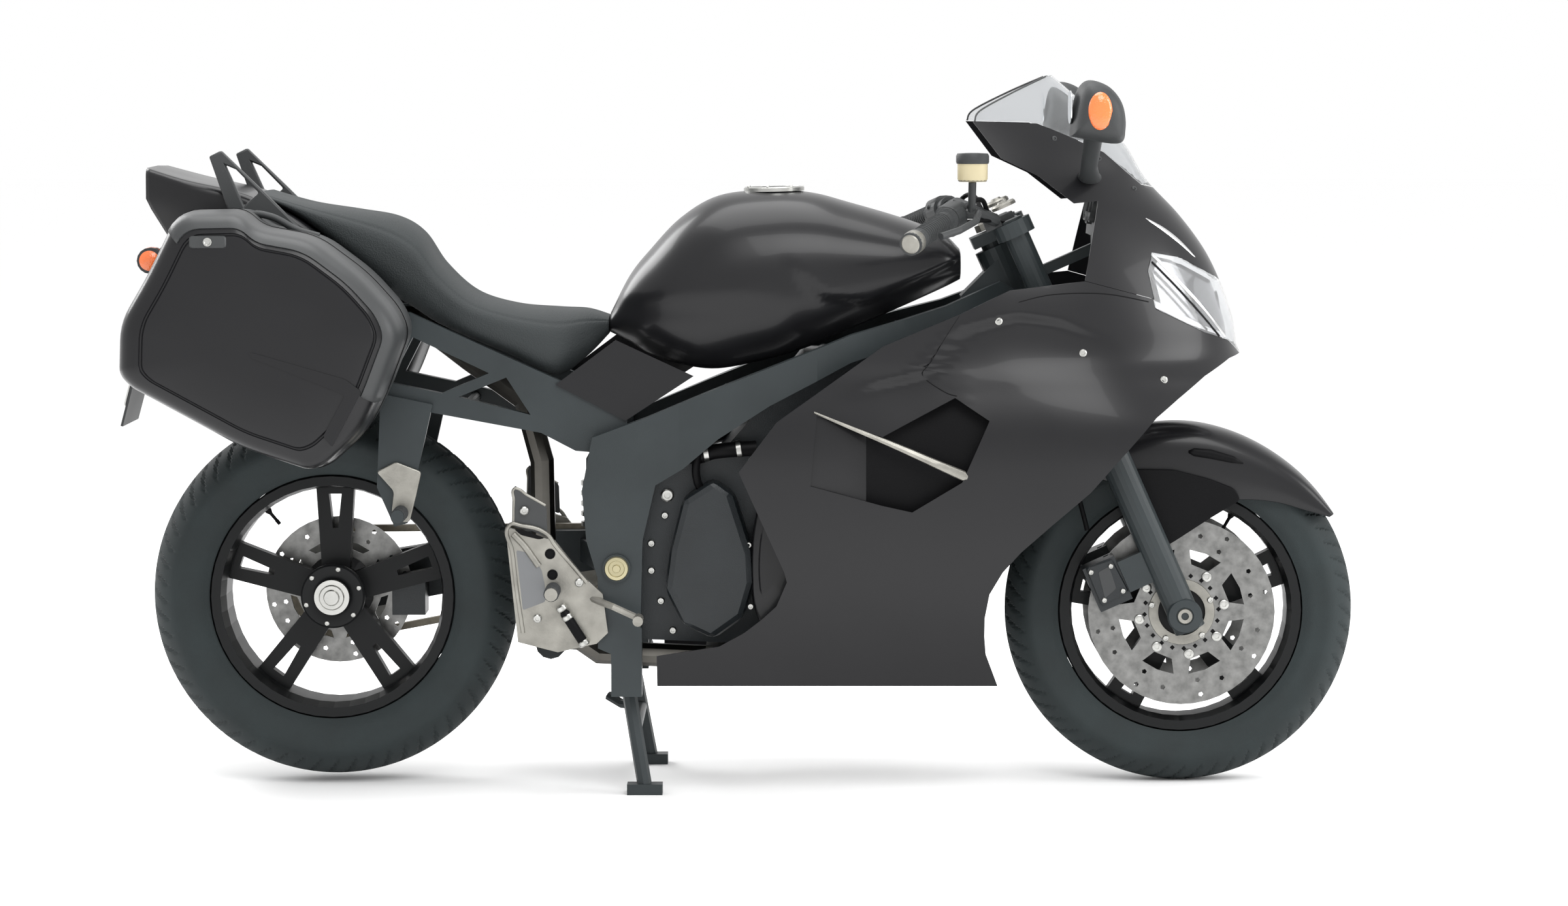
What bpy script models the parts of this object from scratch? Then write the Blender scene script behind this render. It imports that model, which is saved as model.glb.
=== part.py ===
"""A sport touring motorcycle on its centre stand, with its two panniers.

Metres. +X is forward, +Y is the rider's left, +Z is up. The origin is on the floor,
at the middle of the length and of the width.
"""

from math import acos, atan2, cos, degrees, pi, radians, sin, tan

import bmesh
import bpy
from mathutils import Matrix, Vector

# Driving dimensions
WHEELBASE = 1.457
BIKE_HEIGHT = 1.218
REAR_REACH = 1.086
FRONT_TYRE_RADIUS = 0.300
REAR_TYRE_RADIUS = 0.315
REAR_LIFT = 0.011
RAKE = radians(24)
TRAIL = 0.090
SEAT_GAP = 0.0003
RUNNING_GAP = 0.0008
OVERRUN = 0.010
ROUND_STEPS = 44
SMALL_STEPS = 20

# Where the wheels stand
MID_X = (REAR_REACH - WHEELBASE / 2 - FRONT_TYRE_RADIUS) / 2
FRONT_AXLE = Vector((MID_X + WHEELBASE / 2, 0, FRONT_TYRE_RADIUS))
REAR_AXLE = Vector((MID_X - WHEELBASE / 2, 0, REAR_TYRE_RADIUS + REAR_LIFT))

# Wheels and tyres
TYRE_BEAD_RADIUS = 0.2105
RIM_OPENING_RADIUS = 0.186
RIM_LIP_RADIUS = 0.221
RIM_WALL = 0.006
FRONT_TYRE_HALF_WIDTH = 0.060
REAR_TYRE_HALF_WIDTH = 0.090
FRONT_RIM_HALF_WIDTH = 0.050
REAR_RIM_HALF_WIDTH = 0.075
SPOKE_COUNT = 5
SPOKE_HALF_THICKNESS = 0.014
SPOKE_ROOT_HALF_WIDTH = 0.024
SPOKE_TIP_HALF_WIDTH = 0.033
SPOKE_SLOT_HALF_WIDTH = 0.011
SPOKE_SLOT_INNER_RADIUS = 0.112
SPOKE_SLOT_OUTER_RADIUS = 0.172
FRONT_SPOKE_PHASE = radians(23)
REAR_SPOKE_PHASE = radians(18)
HUB_RADIUS = 0.040
FRONT_HUB_FLANGE_RADIUS = 0.058
FRONT_HUB_HALF_LENGTH = 0.0672
FRONT_AXLE_RADIUS = 0.0125
REAR_HUB_LEFT = 0.040
REAR_HUB_RIGHT = 0.066
REAR_HUB_FLANGE_RADIUS = 0.062
REAR_NUT_RADIUS = 0.031
REAR_NUT_HEIGHT = 0.016

# Brake discs
DISC_THICKNESS = 0.005
FRONT_DISC_RADIUS = 0.160
FRONT_DISC_BAND = 0.052
FRONT_DISC_BORE = 0.046
REAR_DISC_RADIUS = 0.1275
REAR_DISC_BORE = 0.050
DISC_HOLE_RADIUS = 0.0045
DISC_WINDOW_COUNT = 8
DISC_CLEARANCE = 0.005

# Fork and steering head
HEAD_HEIGHT = BIKE_HEIGHT * 0.7102
HEAD_LENGTH = 0.130
HEAD_OUTER_RADIUS = 0.034
HEAD_BORE_RADIUS = 0.021
STEM_RADIUS = 0.0202
FORK_OFFSET = FRONT_TYRE_RADIUS * sin(RAKE) - TRAIL * cos(RAKE)
FORK_HALF_SPACING = 0.108
SLIDER_RADIUS = 0.027
TUBE_RADIUS = 0.0215
SLIDER_LENGTH = 0.335
SLIDER_TAIL = 0.028
YOKE_THICKNESS = 0.026
YOKE_GAP = 0.006
YOKE_MARGIN = 0.012
TUBE_TOP = 0.030
CALIPER_RADIUS = 0.136
CALIPER_ANGLE = radians(156)
CALIPER_LENGTH = 0.080
CALIPER_DEPTH = 0.046
CALIPER_JAW = 0.0065

# Handlebars
BAR_RADIUS = 0.011
GRIP_RADIUS = 0.0165
GRIP_HALF_SPAN = 0.360
BAR_WEIGHT_RADIUS = 0.019
BAR_WEIGHT_LENGTH = 0.030
LEVER_RADIUS = 0.006
RESERVOIR_RADIUS = 0.024
RESERVOIR_HEIGHT = 0.046
RESERVOIR_LEAN = 0.026

# Frame: X and Z as shares of the wheelbase and height, Y as shares of its own half width
FRAME_HALF_WIDTH = 0.2155
PLATE_INNER = 0.1603
PLATE_THICKNESS = 0.030
BEAM_DEPTH = 0.028
PIVOT_CAP_RADIUS = 0.024
PIVOT_CAP_HEIGHT = 0.006
STAND_LUG = 0.026
SPAR_OUTLINE_SHARES = [
    (-0.202, 0.427), (-0.190, 0.500), (-0.127, 0.528), (-0.057, 0.563), (0.108, 0.642), (0.220, 0.680),
    (0.285, 0.712), (0.302, 0.700), (0.312, 0.668), (0.295, 0.652), (0.200, 0.640), (0.108, 0.604),
    (0.015, 0.545), (-0.044, 0.499), (-0.085, 0.457), (-0.117, 0.434), (-0.132, 0.357), (-0.135, 0.217),
    (-0.143, 0.186), (-0.184, 0.207), (-0.184, 0.305), (-0.197, 0.357),
]
SPAR_PLAN_SHARES = [
    (-0.210, 0.883), (-0.090, 0.883), (-0.030, 0.955), (0.070, 1.0), (0.170, 0.86), (0.270, 0.40),
    (0.315, 0.20),
]
SPAR_WALL_SHARES = [(-0.210, 1.0), (-0.090, 1.0), (-0.030, 1.5), (0.170, 1.4), (0.270, 1.0), (0.315, 0.9)]
BEAM_SHARES = [(-0.030, 0.556), (0.175, 0.648), (-0.188, 0.470)]
HEAD_GUSSET_SHARES = [(0.240, 0.690), (0.283, 0.742), (0.300, 0.690), (0.305, 0.665), (0.250, 0.655)]
PIVOT_SHARE = (-0.162, 0.319)

# Engine, radiator and exhaust
ENGINE_HALF_WIDTH = 0.132
COVER_REACH = 0.200
COVER_ROUND = 0.012
ALTERNATOR_RADIUS = 0.075
ENGINE_MOUNT_RADIUS = 0.014
RADIATOR_HALF_WIDTH = 0.165
RADIATOR_DEPTH = 0.028
HEADER_RADIUS = 0.018
HEADER_SPACING = 0.072
LINK_RADIUS = 0.021
EXHAUST_BOX_HALF_WIDTH = 0.100
SILENCER_HALF_WIDTH = 0.098
SILENCER_HALF_HEIGHT = 0.045
OUTLET_RADIUS = 0.020
OUTLET_LENGTH = 0.025
OUTLET_SPACING = 0.055
ENGINE_SHARES = [
    (-0.160, 0.215), (-0.160, 0.258), (-0.138, 0.275), (-0.138, 0.375), (-0.150, 0.400), (-0.150, 0.440),
    (-0.100, 0.470), (-0.045, 0.470), (0.020, 0.560), (0.055, 0.612), (0.130, 0.612), (0.185, 0.560),
    (0.185, 0.330), (0.170, 0.225), (0.060, 0.205),
]
ENGINE_NOSE_INDEX = 12
CLUTCH_COVER_SHARES = [
    (-0.100, 0.345), (-0.085, 0.415), (-0.050, 0.442), (-0.025, 0.420), (-0.005, 0.345), (-0.003, 0.300),
    (-0.015, 0.250), (-0.050, 0.220), (-0.085, 0.240), (-0.106, 0.290),
]
ALTERNATOR_SHARE = (0.010, 0.330)
ENGINE_MOUNT_SHARES = [(-0.132, 0.420), (-0.150, 0.237), (0.080, 0.602)]
RADIATOR_FOOT_SHARE = (0.222, 0.262)
RADIATOR_HEAD_SHARE = (0.262, 0.500)
EXHAUST_BOX_SHARES = [(-0.060, 0.166), (0.100, 0.199)]
HEADER_SHARES = [
    (0.185, 0.490), (0.203, 0.490), (0.213, 0.468), (0.211, 0.330), (0.190, 0.215), (0.155, 0.185),
    (0.080, 0.182),
]
LINK_PIPE_SHARES = [
    (-0.040, 0.182, -0.60), (-0.185, 0.190, -0.60), (-0.236, 0.232, -0.60), (-0.250, 0.330, -0.60),
    (-0.252, 0.460, -0.58), (-0.272, 0.545, -0.50), (-0.340, 0.602, -0.25), (-0.385, 0.640, 0.0),
    (-0.402, 0.658, 0.0), (-0.4246, 0.658, 0.0),
]
SILENCER_SHARES = [
    (-0.425, 0.665, 0.40, 0.50), (-0.455, 0.680, 0.95, 1), (-0.520, 0.715, 1, 1),
    (-0.640, 0.770, 0.95, 0.95),
    (-0.655, 0.777, 0.80, 0.75),
]
SILENCER_EAR_SHARE = (-0.520, 0.716)

# Rear subframe, swingarm and final drive
SUBFRAME_INNER = 0.1377
TIE_RADIUS = 0.009
SUBFRAME_LOOP_SHARES = [
    [(-0.150, 0.535), (-0.402, 0.672), (-0.428, 0.672), (-0.470, 0.700), (-0.655, 0.800),
     (-0.655, 0.780), (-0.460, 0.560), (-0.430, 0.545),
     (-0.250, 0.505), (-0.210, 0.480), (-0.150, 0.474)],
    [(-0.262, 0.530), (-0.290, 0.582), (-0.345, 0.555)],
    [(-0.310, 0.588), (-0.398, 0.638), (-0.425, 0.575), (-0.365, 0.560)],
    [(-0.420, 0.643), (-0.560, 0.718), (-0.447, 0.585)],
]
SUBFRAME_TIE_SHARES = [(-0.215, 0.528), (-0.340, 0.538), (-0.446, 0.566)]
ARM_INNER = 0.102
ARM_OUTER = 0.138
PIVOT_BARREL_RADIUS = 0.028
PIVOT_BOLT_RADIUS = 0.012
BRACE_REACH = 0.078
BRACE_HEIGHT = 0.040
CARRIER_RADIUS = 0.048
REAR_AXLE_RADIUS = 0.018
ARM_SHARES = [
    (-0.150, 0.340), (-0.175, 0.347), (-0.300, 0.345), (-0.440, 0.318), (-0.520, 0.298), (-0.545, 0.268),
    (-0.520, 0.232), (-0.480, 0.232), (-0.330, 0.266), (-0.250, 0.280), (-0.160, 0.296),
]
CHAIN_LINE = 0.148
CHAIN_HALF_WIDTH = 0.007
CHAIN_HEIGHT = 0.012
CHAIN_SEAT = 0.001
SPROCKET_HALF = 0.003
REAR_SPROCKET_RADIUS = 0.088
FRONT_SPROCKET_RADIUS = 0.034
FRONT_SPROCKET_SHARE = (-0.086, 0.316)
SHOCK_RADIUS = 0.028
SHOCK_SHARES = [(-0.190, 0.4468), (-0.190, 0.3358)]

# Stands and footrests
STAND_PIVOT_SHARE = (-0.151, 0.150)
STAND_LEAD = 0.030
STAND_HALF_WIDTH = 0.130
STAND_SPLAY = 0.035
STAND_TUBE_RADIUS = 0.0125
STAND_FOOT_HEIGHT = 0.012
STAND_FOOT_LENGTH = 0.060
STAND_TANG = 0.060
SIDE_STAND_SHARE = (-0.141, 0.166)
SIDE_STAND_Y = 0.2108
SIDE_STAND_LENGTH = 0.165
SIDE_STAND_STOWED = (-1, 0.05, 0.03)
SIDE_STAND_STANDING = (0.45, 0.50, -0.74)
BRACKET_THICKNESS = 0.012
PEG_RADIUS = 0.011
PEG_LENGTH = 0.085
PEDAL_OFFSET = 0.030
FOOT_PLATE_SHARES = [
    (-0.290, 0.377), (-0.233, 0.358), (-0.201, 0.310), (-0.178, 0.284), (-0.172, 0.230), (-0.185, 0.215),
    (-0.230, 0.203), (-0.276, 0.217),
]
RIDER_PEG_SHARE = (-0.235, 0.290)
PEDAL_SHARES = [(-0.192, 0.278), (-0.165, 0.268), (-0.136, 0.252)]
HANGER_SHARES = [
    (-0.375, 0.545), (-0.435, 0.560), (-0.440, 0.430), (-0.420, 0.375), (-0.405, 0.380), (-0.395, 0.440),
]
PILLION_PEG_SHARE = (-0.412, 0.395)

# Tank, seat and tail
TANK_HALF_WIDTH = 0.168
TANK_PAD_WIDTH = 0.030
TANK_SHARES = [
    (-0.172, 0.668, 0.640, 0.45), (-0.150, 0.719, 0.628, 0.62), (-0.126, 0.755, 0.612, 0.78),
    (-0.090, 0.800, 0.598, 0.93), (-0.045, 0.831, 0.592, 1.0), (0.015, 0.839, 0.606, 1.0),
    (0.065, 0.835, 0.624, 0.97), (0.110, 0.821, 0.647, 0.92), (0.170, 0.800, 0.678, 0.84),
    (0.217, 0.779, 0.703, 0.74), (0.238, 0.757, 0.715, 0.62),
]
SEAT_HALF_WIDTH = 0.158
SEAT_SHARES = [
    (-0.579, 0.838, 0.833, 0.80), (-0.527, 0.822, 0.800, 0.86), (-0.471, 0.812, 0.748, 0.90),
    (-0.425, 0.802, 0.699, 0.92), (-0.395, 0.780, 0.675, 0.93), (-0.370, 0.736, 0.656, 0.95),
    (-0.333, 0.696, 0.636, 1.0), (-0.285, 0.678, 0.610, 1.0), (-0.234, 0.673, 0.583, 0.88),
    (-0.200, 0.670, 0.607, 0.62), (-0.179, 0.660, 0.640, 0.42),
]
TAIL_INNER = 0.1603
TAIL_WALL = 0.004
TAIL_SHARES = [
    (-0.430, 0.702, 0.672, 1.0), (-0.471, 0.7475, 0.690, 1.0), (-0.527, 0.7995, 0.715, 1.0),
    (-0.579, 0.8325, 0.745, 1.0), (-0.611, 0.845, 0.760, 1.0), (-0.660, 0.858, 0.766, 1.0),
    (-0.707, 0.874, 0.770, 0.84),
]
GRAB_THICKNESS = 0.015
GRAB_LOOP_SHARES = [
    [(-0.628, 0.890), (-0.615, 0.894), (-0.567, 0.837), (-0.516, 0.776), (-0.421, 0.675), (-0.436, 0.668),
     (-0.520, 0.750), (-0.600, 0.795), (-0.607, 0.815)],
    [(-0.609, 0.874), (-0.599, 0.868), (-0.575, 0.838), (-0.590, 0.822)],
]
SIDE_PANEL_SHARES = [(-0.163, 0.634), (-0.233, 0.572), (-0.152, 0.522), (-0.073, 0.584)]
SIDE_PANEL_THICKNESS = 0.004
TAIL_LIGHT_SHARES = [(-0.702, 0.852), (-0.690, 0.852), (-0.690, 0.822), (-0.702, 0.822)]
INDICATOR_SHARE = (-0.697, 0.745)
INDICATOR_RADIUS = 0.022
INDICATOR_LENGTH = 0.040
INDICATOR_FAR = 0.200
HANGER_PLATE_SHARES = [(-0.680, 0.775, 1.0), (-0.694, 0.757, 0.95), (-0.712, 0.660, 0.70),
    (-0.7454, 0.510, 0.65)]

# Cowl: one master skin, from which the nose, screen, lamp and side fairings are cut
COWL_HALF_WIDTH = 0.285
COWL_NOSE_LENGTH = 0.450
COWL_WALL = 0.004
NOSE_CURVE = [(1 - cos(radians(a)), sin(radians(a))) for a in (0, 12, 25, 40, 55, 72, 90)]
COWL_REAR_SHARE = -0.160
COWL_SHARES = [
    (0.148, 0.620, 0.70), (0.205, 0.640, 0.83), (0.270, 0.650, 0.93), (0.345, 0.650, 0.98),
    (0.430, 0.652, 1.0),
    (0.510, 0.650, 1.0), (0.575, 0.600, 0.96), (0.612, 0.570, 0.93), (0.657, 0.562, 0.90),
    (0.706, 0.548, 0.87),
    (0.755, 0.528, 0.82), (0.805, 0.497, 0.77), (0.855, 0.458, 0.71), (0.905, 0.432, 0.64),
    (0.955, 0.390, 0.57),
    (1.000, 0.347, 0.50),
]
SCREEN_SHARES = [
    (0.250, 0.936), (0.259, 0.951), (0.338, 0.998), (0.360, 1.010), (0.480, 0.930), (0.560, 0.820),
    (0.450, 0.848),
    (0.404, 0.894), (0.360, 0.917), (0.325, 0.934),
]
NOSE_SHARES = [
    (0.250, 0.935), (0.325, 0.933), (0.360, 0.916), (0.404, 0.893), (0.450, 0.847), (0.560, 0.8185),
    (0.620, 0.700),
    (0.545, 0.7127), (0.537, 0.7197), (0.494, 0.7467), (0.4574, 0.7548), (0.4514, 0.730), (0.458, 0.692),
    (0.377, 0.718), (0.395, 0.826), (0.366, 0.823), (0.325, 0.861), (0.282, 0.885),
]
LAMP_SHARES = [
    (0.458, 0.754), (0.494, 0.746), (0.537, 0.719), (0.545, 0.712), (0.600, 0.690), (0.600, 0.600),
    (0.569, 0.611), (0.552, 0.631), (0.520, 0.644), (0.461, 0.678), (0.452, 0.730),
]
SIDE_FAIRING_SHARES = [
    [(0.023, 0.527), (0.145, 0.630), (0.232, 0.673), (0.290, 0.706), (0.377, 0.7174), (0.4577, 0.6914),
     (0.4603, 0.6775), (0.5197, 0.6434), (0.5516, 0.6304), (0.5684, 0.6105), (0.552, 0.606), (0.518, 0.585),
     (0.484, 0.556), (0.458, 0.532), (0.430, 0.495), (0.408, 0.466), (0.382, 0.431), (0.339, 0.387),
     (0.282, 0.321), (0.267, 0.290), (0.262, 0.256), (0.264, 0.204), (0.279, 0.156), (-0.115, 0.156),
     (-0.115, 0.201), (-0.043, 0.215), (-0.014, 0.235), (0.023, 0.273), (0.035, 0.307), (0.032, 0.321),
     (-0.020, 0.459)],
    [(0.069, 0.536), (0.144, 0.507), (0.227, 0.560), (0.266, 0.529), (0.235, 0.445), (0.178, 0.404),
     (0.144, 0.413), (0.062, 0.440)],
]
FAIRING_BOSS_RADIUS = 0.006
FAIRING_BOSS_SHARE = (0.200, 0.6475)
FAIRING_STAY_SHARE = (0.120, 0.300)
STAY_LENGTH = 0.170
STAY_HALF_WIDTH = 0.012
STAY_TOP = 0.002
STAY_FOOT = -0.016
CROSSBAR_HALF_LENGTH = 0.120
CROSSBAR_SHARES = [(0.400, 0.752), (0.420, 0.775)]
LAMP_HOUSING_HALF_WIDTH = 0.065
LAMP_HOUSING_SHARES = [(0.404, 0.7517), (0.455, 0.7517), (0.500, 0.728), (0.530, 0.695), (0.530, 0.650),
    (0.470, 0.690)]
LAMP_NUB_SHARES = [(0.500, 0.650), (0.5608, 0.650), (0.5608, 0.668), (0.500, 0.668)]
LAMP_NUB_HALF_WIDTH = 0.015
PANEL_HALF_WIDTH = 0.100
PANEL_SHARES = [(0.393, 0.7753), (0.445, 0.7753), (0.445, 0.800), (0.398, 0.842)]
MIRROR_FOOT_SHARE = (0.385, 0.858)
MIRROR_NEAR = 0.290
MIRROR_FAR = 0.425
MIRROR_STALK_RADIUS = 0.011
MIRROR_SHARES = [
    (0.352, 0.917), (0.355, 0.955), (0.362, 0.983), (0.375, 0.992), (0.397, 0.982), (0.411, 0.958),
    (0.414, 0.925),
    (0.405, 0.907),
]

# Mudguard round the front tyre
MUDGUARD_HALF_WIDTH = 0.0745
MUDGUARD_WALL = 0.003
MUDGUARD_STATIONS = [
    (33, 0.012, 0.012), (40, 0.013, 0.040), (48, 0.014, 0.062), (57, 0.015, 0.085), (66, 0.017, 0.105),
    (76, 0.020, 0.115), (86, 0.023, 0.120), (96, 0.024, 0.118), (106, 0.024, 0.110), (116, 0.024, 0.080),
    (124, 0.024, 0.045),
]
MUDGUARD_BOSS_HEIGHT = 0.245
MUDGUARD_BOSS_RADIUS = 0.012

# Panniers: outline in the side view, depth outwards from the grab rail
PANNIER_INNER = 0.1799
PANNIER_SPLIT = 0.320
PANNIER_OUTER = 0.460
PANNIER_WALL = 0.004
PANNIER_SHARES = [
    (-0.646, 0.817), (-0.680, 0.735), (-0.712, 0.670), (-0.714, 0.599), (-0.701, 0.582), (-0.571, 0.497),
    (-0.498, 0.468), (-0.480, 0.476), (-0.441, 0.518), (-0.420, 0.565), (-0.392, 0.653), (-0.403, 0.686),
    (-0.438, 0.733), (-0.494, 0.783), (-0.554, 0.796), (-0.575, 0.819),
]
LID_HINGE_SHARES = [(-0.707, 0.560), (-0.494, 0.452)]

# The steering head as a frame of its own: local Z runs up the steering axis
HEAD_POINT = Vector((FRONT_AXLE.x + TRAIL - HEAD_HEIGHT * tan(RAKE), 0, HEAD_HEIGHT))
HEAD_MATRIX = Matrix.Translation(HEAD_POINT) @ Matrix.Rotation(-RAKE, 4, "Y")
AXLE_DROP = -(HEAD_MATRIX.inverted() @ FRONT_AXLE).z

# Colours, with roughness and metallic value
LOOKS = {
    "black paint": ((0.035, 0.035, 0.037), 0.28, 0.0),
    "black plastic": ((0.030, 0.032, 0.033), 0.55, 0.0),
    "frame paint": ((0.045, 0.054, 0.058), 0.45, 0.2),
    "engine paint": ((0.030, 0.036, 0.038), 0.50, 0.3),
    "wheel paint": ((0.018, 0.020, 0.021), 0.35, 0.2),
    "tyre": ((0.032, 0.040, 0.042), 0.85, 0.0),
    "seat cover": ((0.040, 0.044, 0.045), 0.75, 0.0),
    "steel": ((0.420, 0.420, 0.400), 0.35, 0.9),
    "alloy": ((0.480, 0.480, 0.450), 0.40, 0.8),
    "grey plastic": ((0.130, 0.132, 0.132), 0.45, 0.0),
    "clear lens": ((0.700, 0.710, 0.720), 0.10, 0.0),
    "red lens": ((0.400, 0.020, 0.020), 0.20, 0.0),
    "screen": ((0.450, 0.460, 0.470), 0.10, 0.0),
}


def place(x_share, z_share):
    """A point of the side view, from shares of the wheelbase and of the height."""
    return MID_X + x_share * WHEELBASE, z_share * BIKE_HEIGHT


def outline_of(shares):
    return [place(*share) for share in shares]


def add_object(name, mesh):
    obj = bpy.data.objects.new(name, mesh)
    bpy.context.scene.collection.objects.link(obj)
    return obj


def from_bmesh(name, bm):
    bmesh.ops.recalc_face_normals(bm, faces=bm.faces[:])
    mesh = bpy.data.meshes.new(name)
    bm.to_mesh(mesh)
    bm.free()
    return add_object(name, mesh)


def as_mesh(obj):
    """The object as the viewport evaluates it, made a plain mesh in world space."""
    bpy.context.view_layer.update()
    evaluated = obj.evaluated_get(bpy.context.evaluated_depsgraph_get())
    mesh = bpy.data.meshes.new_from_object(evaluated)
    mesh.transform(obj.matrix_world)
    bm = bmesh.new()
    bm.from_mesh(mesh)
    bmesh.ops.remove_doubles(bm, verts=bm.verts[:], dist=SEAT_GAP / 10)
    bmesh.ops.recalc_face_normals(bm, faces=bm.faces[:])
    bm.to_mesh(mesh)
    bm.free()
    name = obj.name
    bpy.data.objects.remove(obj)
    return add_object(name, mesh)


def combine(base, others, operation):
    """The base with each other shape joined to it, cut from it or kept in common with it."""
    for other in others:
        modifier = base.modifiers.new(operation, "BOOLEAN")
        modifier.operation = operation
        modifier.solver = "EXACT"
        modifier.object = other
    result = as_mesh(base)
    for other in others:
        bpy.data.objects.remove(other)
    return result


def join(pieces):
    return combine(pieces[0], pieces[1:], "UNION")


def cut(base, cutters):
    return combine(base, cutters, "DIFFERENCE")


def turned(profile, centre, steps=ROUND_STEPS, closed=False, axis="Y"):
    """A shape turned about a line through the centre; profile points are (radius, along)."""
    mesh = bpy.data.meshes.new("turned")
    count = len(profile)
    edges = [(i, (i + 1) % count) for i in range(count if closed else count - 1)]
    mesh.from_pydata([(radius, 0, along) for radius, along in profile], edges, [])
    obj = add_object("turned", mesh)
    screw = obj.modifiers.new("Screw", "SCREW")
    screw.axis = "Z"
    screw.steps = steps
    screw.render_steps = steps
    screw.use_merge_vertices = True
    screw.merge_threshold = SEAT_GAP / 10
    turns = {"Y": (-pi / 2, 0, 0), "Z": (0, 0, 0), "X": (0, pi / 2, 0)}
    obj.rotation_euler = turns[axis]
    obj.location = centre
    return as_mesh(obj)


def drum(radius, start, end, steps=SMALL_STEPS):
    """A round bar between two points."""
    start = Vector(start)
    end = Vector(end)
    line = end - start
    bm = bmesh.new()
    bmesh.ops.create_cone(
        bm, cap_ends=True, segments=steps, radius1=radius, radius2=radius, depth=line.length
    )
    turn = Vector((0, 0, 1)).rotation_difference(line).to_matrix().to_4x4()
    bmesh.ops.transform(bm, matrix=Matrix.Translation((start + end) / 2) @ turn, verts=bm.verts[:])
    return from_bmesh("drum", bm)


def pipe(radius, points, resolution=3):
    """A tube of one radius along a path."""
    curve = bpy.data.curves.new("pipe", "CURVE")
    curve.dimensions = "3D"
    curve.bevel_depth = radius
    curve.bevel_resolution = resolution
    curve.use_fill_caps = True
    spline = curve.splines.new("POLY")
    spline.points.add(len(points) - 1)
    for target, point in zip(spline.points, points):
        target.co = (*point, 1)
    return as_mesh(add_object("pipe", curve))


def block(low, high):
    """A box between two corners."""
    low = Vector(low)
    high = Vector(high)
    bm = bmesh.new()
    bmesh.ops.create_cube(bm, size=1)
    size = high - low
    bmesh.ops.scale(bm, vec=size, verts=bm.verts[:])
    bmesh.ops.translate(bm, vec=(low + high) / 2, verts=bm.verts[:])
    return from_bmesh("block", bm)


def slab(loops, near, far):
    """A flat outline of the side view, with holes after the first loop, from one Y to another."""
    curve = bpy.data.curves.new("slab", "CURVE")
    curve.dimensions = "2D"
    curve.fill_mode = "BOTH"
    curve.extrude = abs(far - near) / 2
    for loop in loops:
        spline = curve.splines.new("POLY")
        spline.points.add(len(loop) - 1)
        spline.use_cyclic_u = True
        for target, (x, z) in zip(spline.points, loop):
            target.co = (x, z, 0, 1)
    obj = add_object("slab", curve)
    obj.rotation_euler = (pi / 2, 0, 0)
    obj.location = (0, (near + far) / 2, 0)
    return as_mesh(obj)


def circle(centre, radius, steps):
    return [
        (centre[0] + radius * cos(2 * pi * i / steps), centre[1] + radius * sin(2 * pi * i / steps))
        for i in range(steps)
    ]


def loft(rings, closed_rings=True, capped=True):
    """A skin through sections that hold the same number of points."""
    bm = bmesh.new()
    rows = [[bm.verts.new(point) for point in ring] for ring in rings]
    count = len(rings[0])
    for row, following in zip(rows, rows[1:]):
        for i in range(count if closed_rings else count - 1):
            j = (i + 1) % count
            bm.faces.new((row[i], row[j], following[j], following[i]))
    if capped:
        bm.faces.new(list(reversed(rows[0])))
        bm.faces.new(rows[-1])
    return from_bmesh("loft", bm)


def solidified(obj, thickness, offset=-1):
    """A wall on an open skin; offset -1 keeps the wall behind the faces."""
    modifier = obj.modifiers.new("Solidify", "SOLIDIFY")
    modifier.thickness = thickness
    modifier.offset = offset
    modifier.use_even_offset = True
    return as_mesh(obj)


def mirrored(obj):
    """A copy of a mesh on the other side of the motorcycle."""
    mesh = obj.data.copy()
    mesh.transform(Matrix.Diagonal((1, -1, 1, 1)))
    mesh.flip_normals()
    return add_object(obj.name, mesh)


def empty(name, matrix):
    marker = bpy.data.objects.new(name, None)
    bpy.context.scene.collection.objects.link(marker)
    marker.empty_display_size = HUB_RADIUS
    marker.matrix_world = matrix
    return marker


def keep(obj, name, look, carrier=None):
    """Names a finished piece, paints it and hangs it on the empty that it moves with."""
    obj.name = name
    obj.data.name = name
    colour, roughness, metallic = LOOKS[look]
    material = bpy.data.materials.new(name)
    material.use_nodes = True
    shader = material.node_tree.nodes["Principled BSDF"]
    shader.inputs["Base Color"].default_value = (*colour, 1)
    shader.inputs["Roughness"].default_value = roughness
    shader.inputs["Metallic"].default_value = metallic
    obj.data.materials.clear()
    obj.data.materials.append(material)
    obj.data.shade_smooth()
    obj.data.set_sharp_from_angle(angle=radians(35))
    for collection in obj.users_collection:
        collection.objects.unlink(obj)
    bpy.data.collections["motorcycle"].objects.link(obj)
    if carrier:
        bpy.context.view_layer.update()
        obj.parent = carrier
        obj.matrix_parent_inverse = carrier.matrix_world.inverted()
    return obj


def tyre(centre, radius, half_width):
    """A plain tyre: a rounded crown, two side walls and the bead seat."""
    side_share = 0.80
    shoulder_share = 0.62
    crown = [(radius - (radius - TYRE_BEAD_RADIUS) * 0.42 * (1 - cos(a)) / (1 - cos(radians(62))),
              half_width * sin(a) / sin(radians(62)))
             for a in [radians(d) for d in (62, 45, 30, 15, 0, -15, -30, -45, -62)]]
    height = radius - TYRE_BEAD_RADIUS
    wall = [(TYRE_BEAD_RADIUS + height * (1 - shoulder_share) * 0.5, -half_width * 0.96)]
    bead = [(TYRE_BEAD_RADIUS, -half_width * side_share), (TYRE_BEAD_RADIUS, half_width * side_share)]
    other = [(wall[0][0], half_width * 0.96)]
    return turned(crown + wall + bead + other, centre, closed=True)


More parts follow.
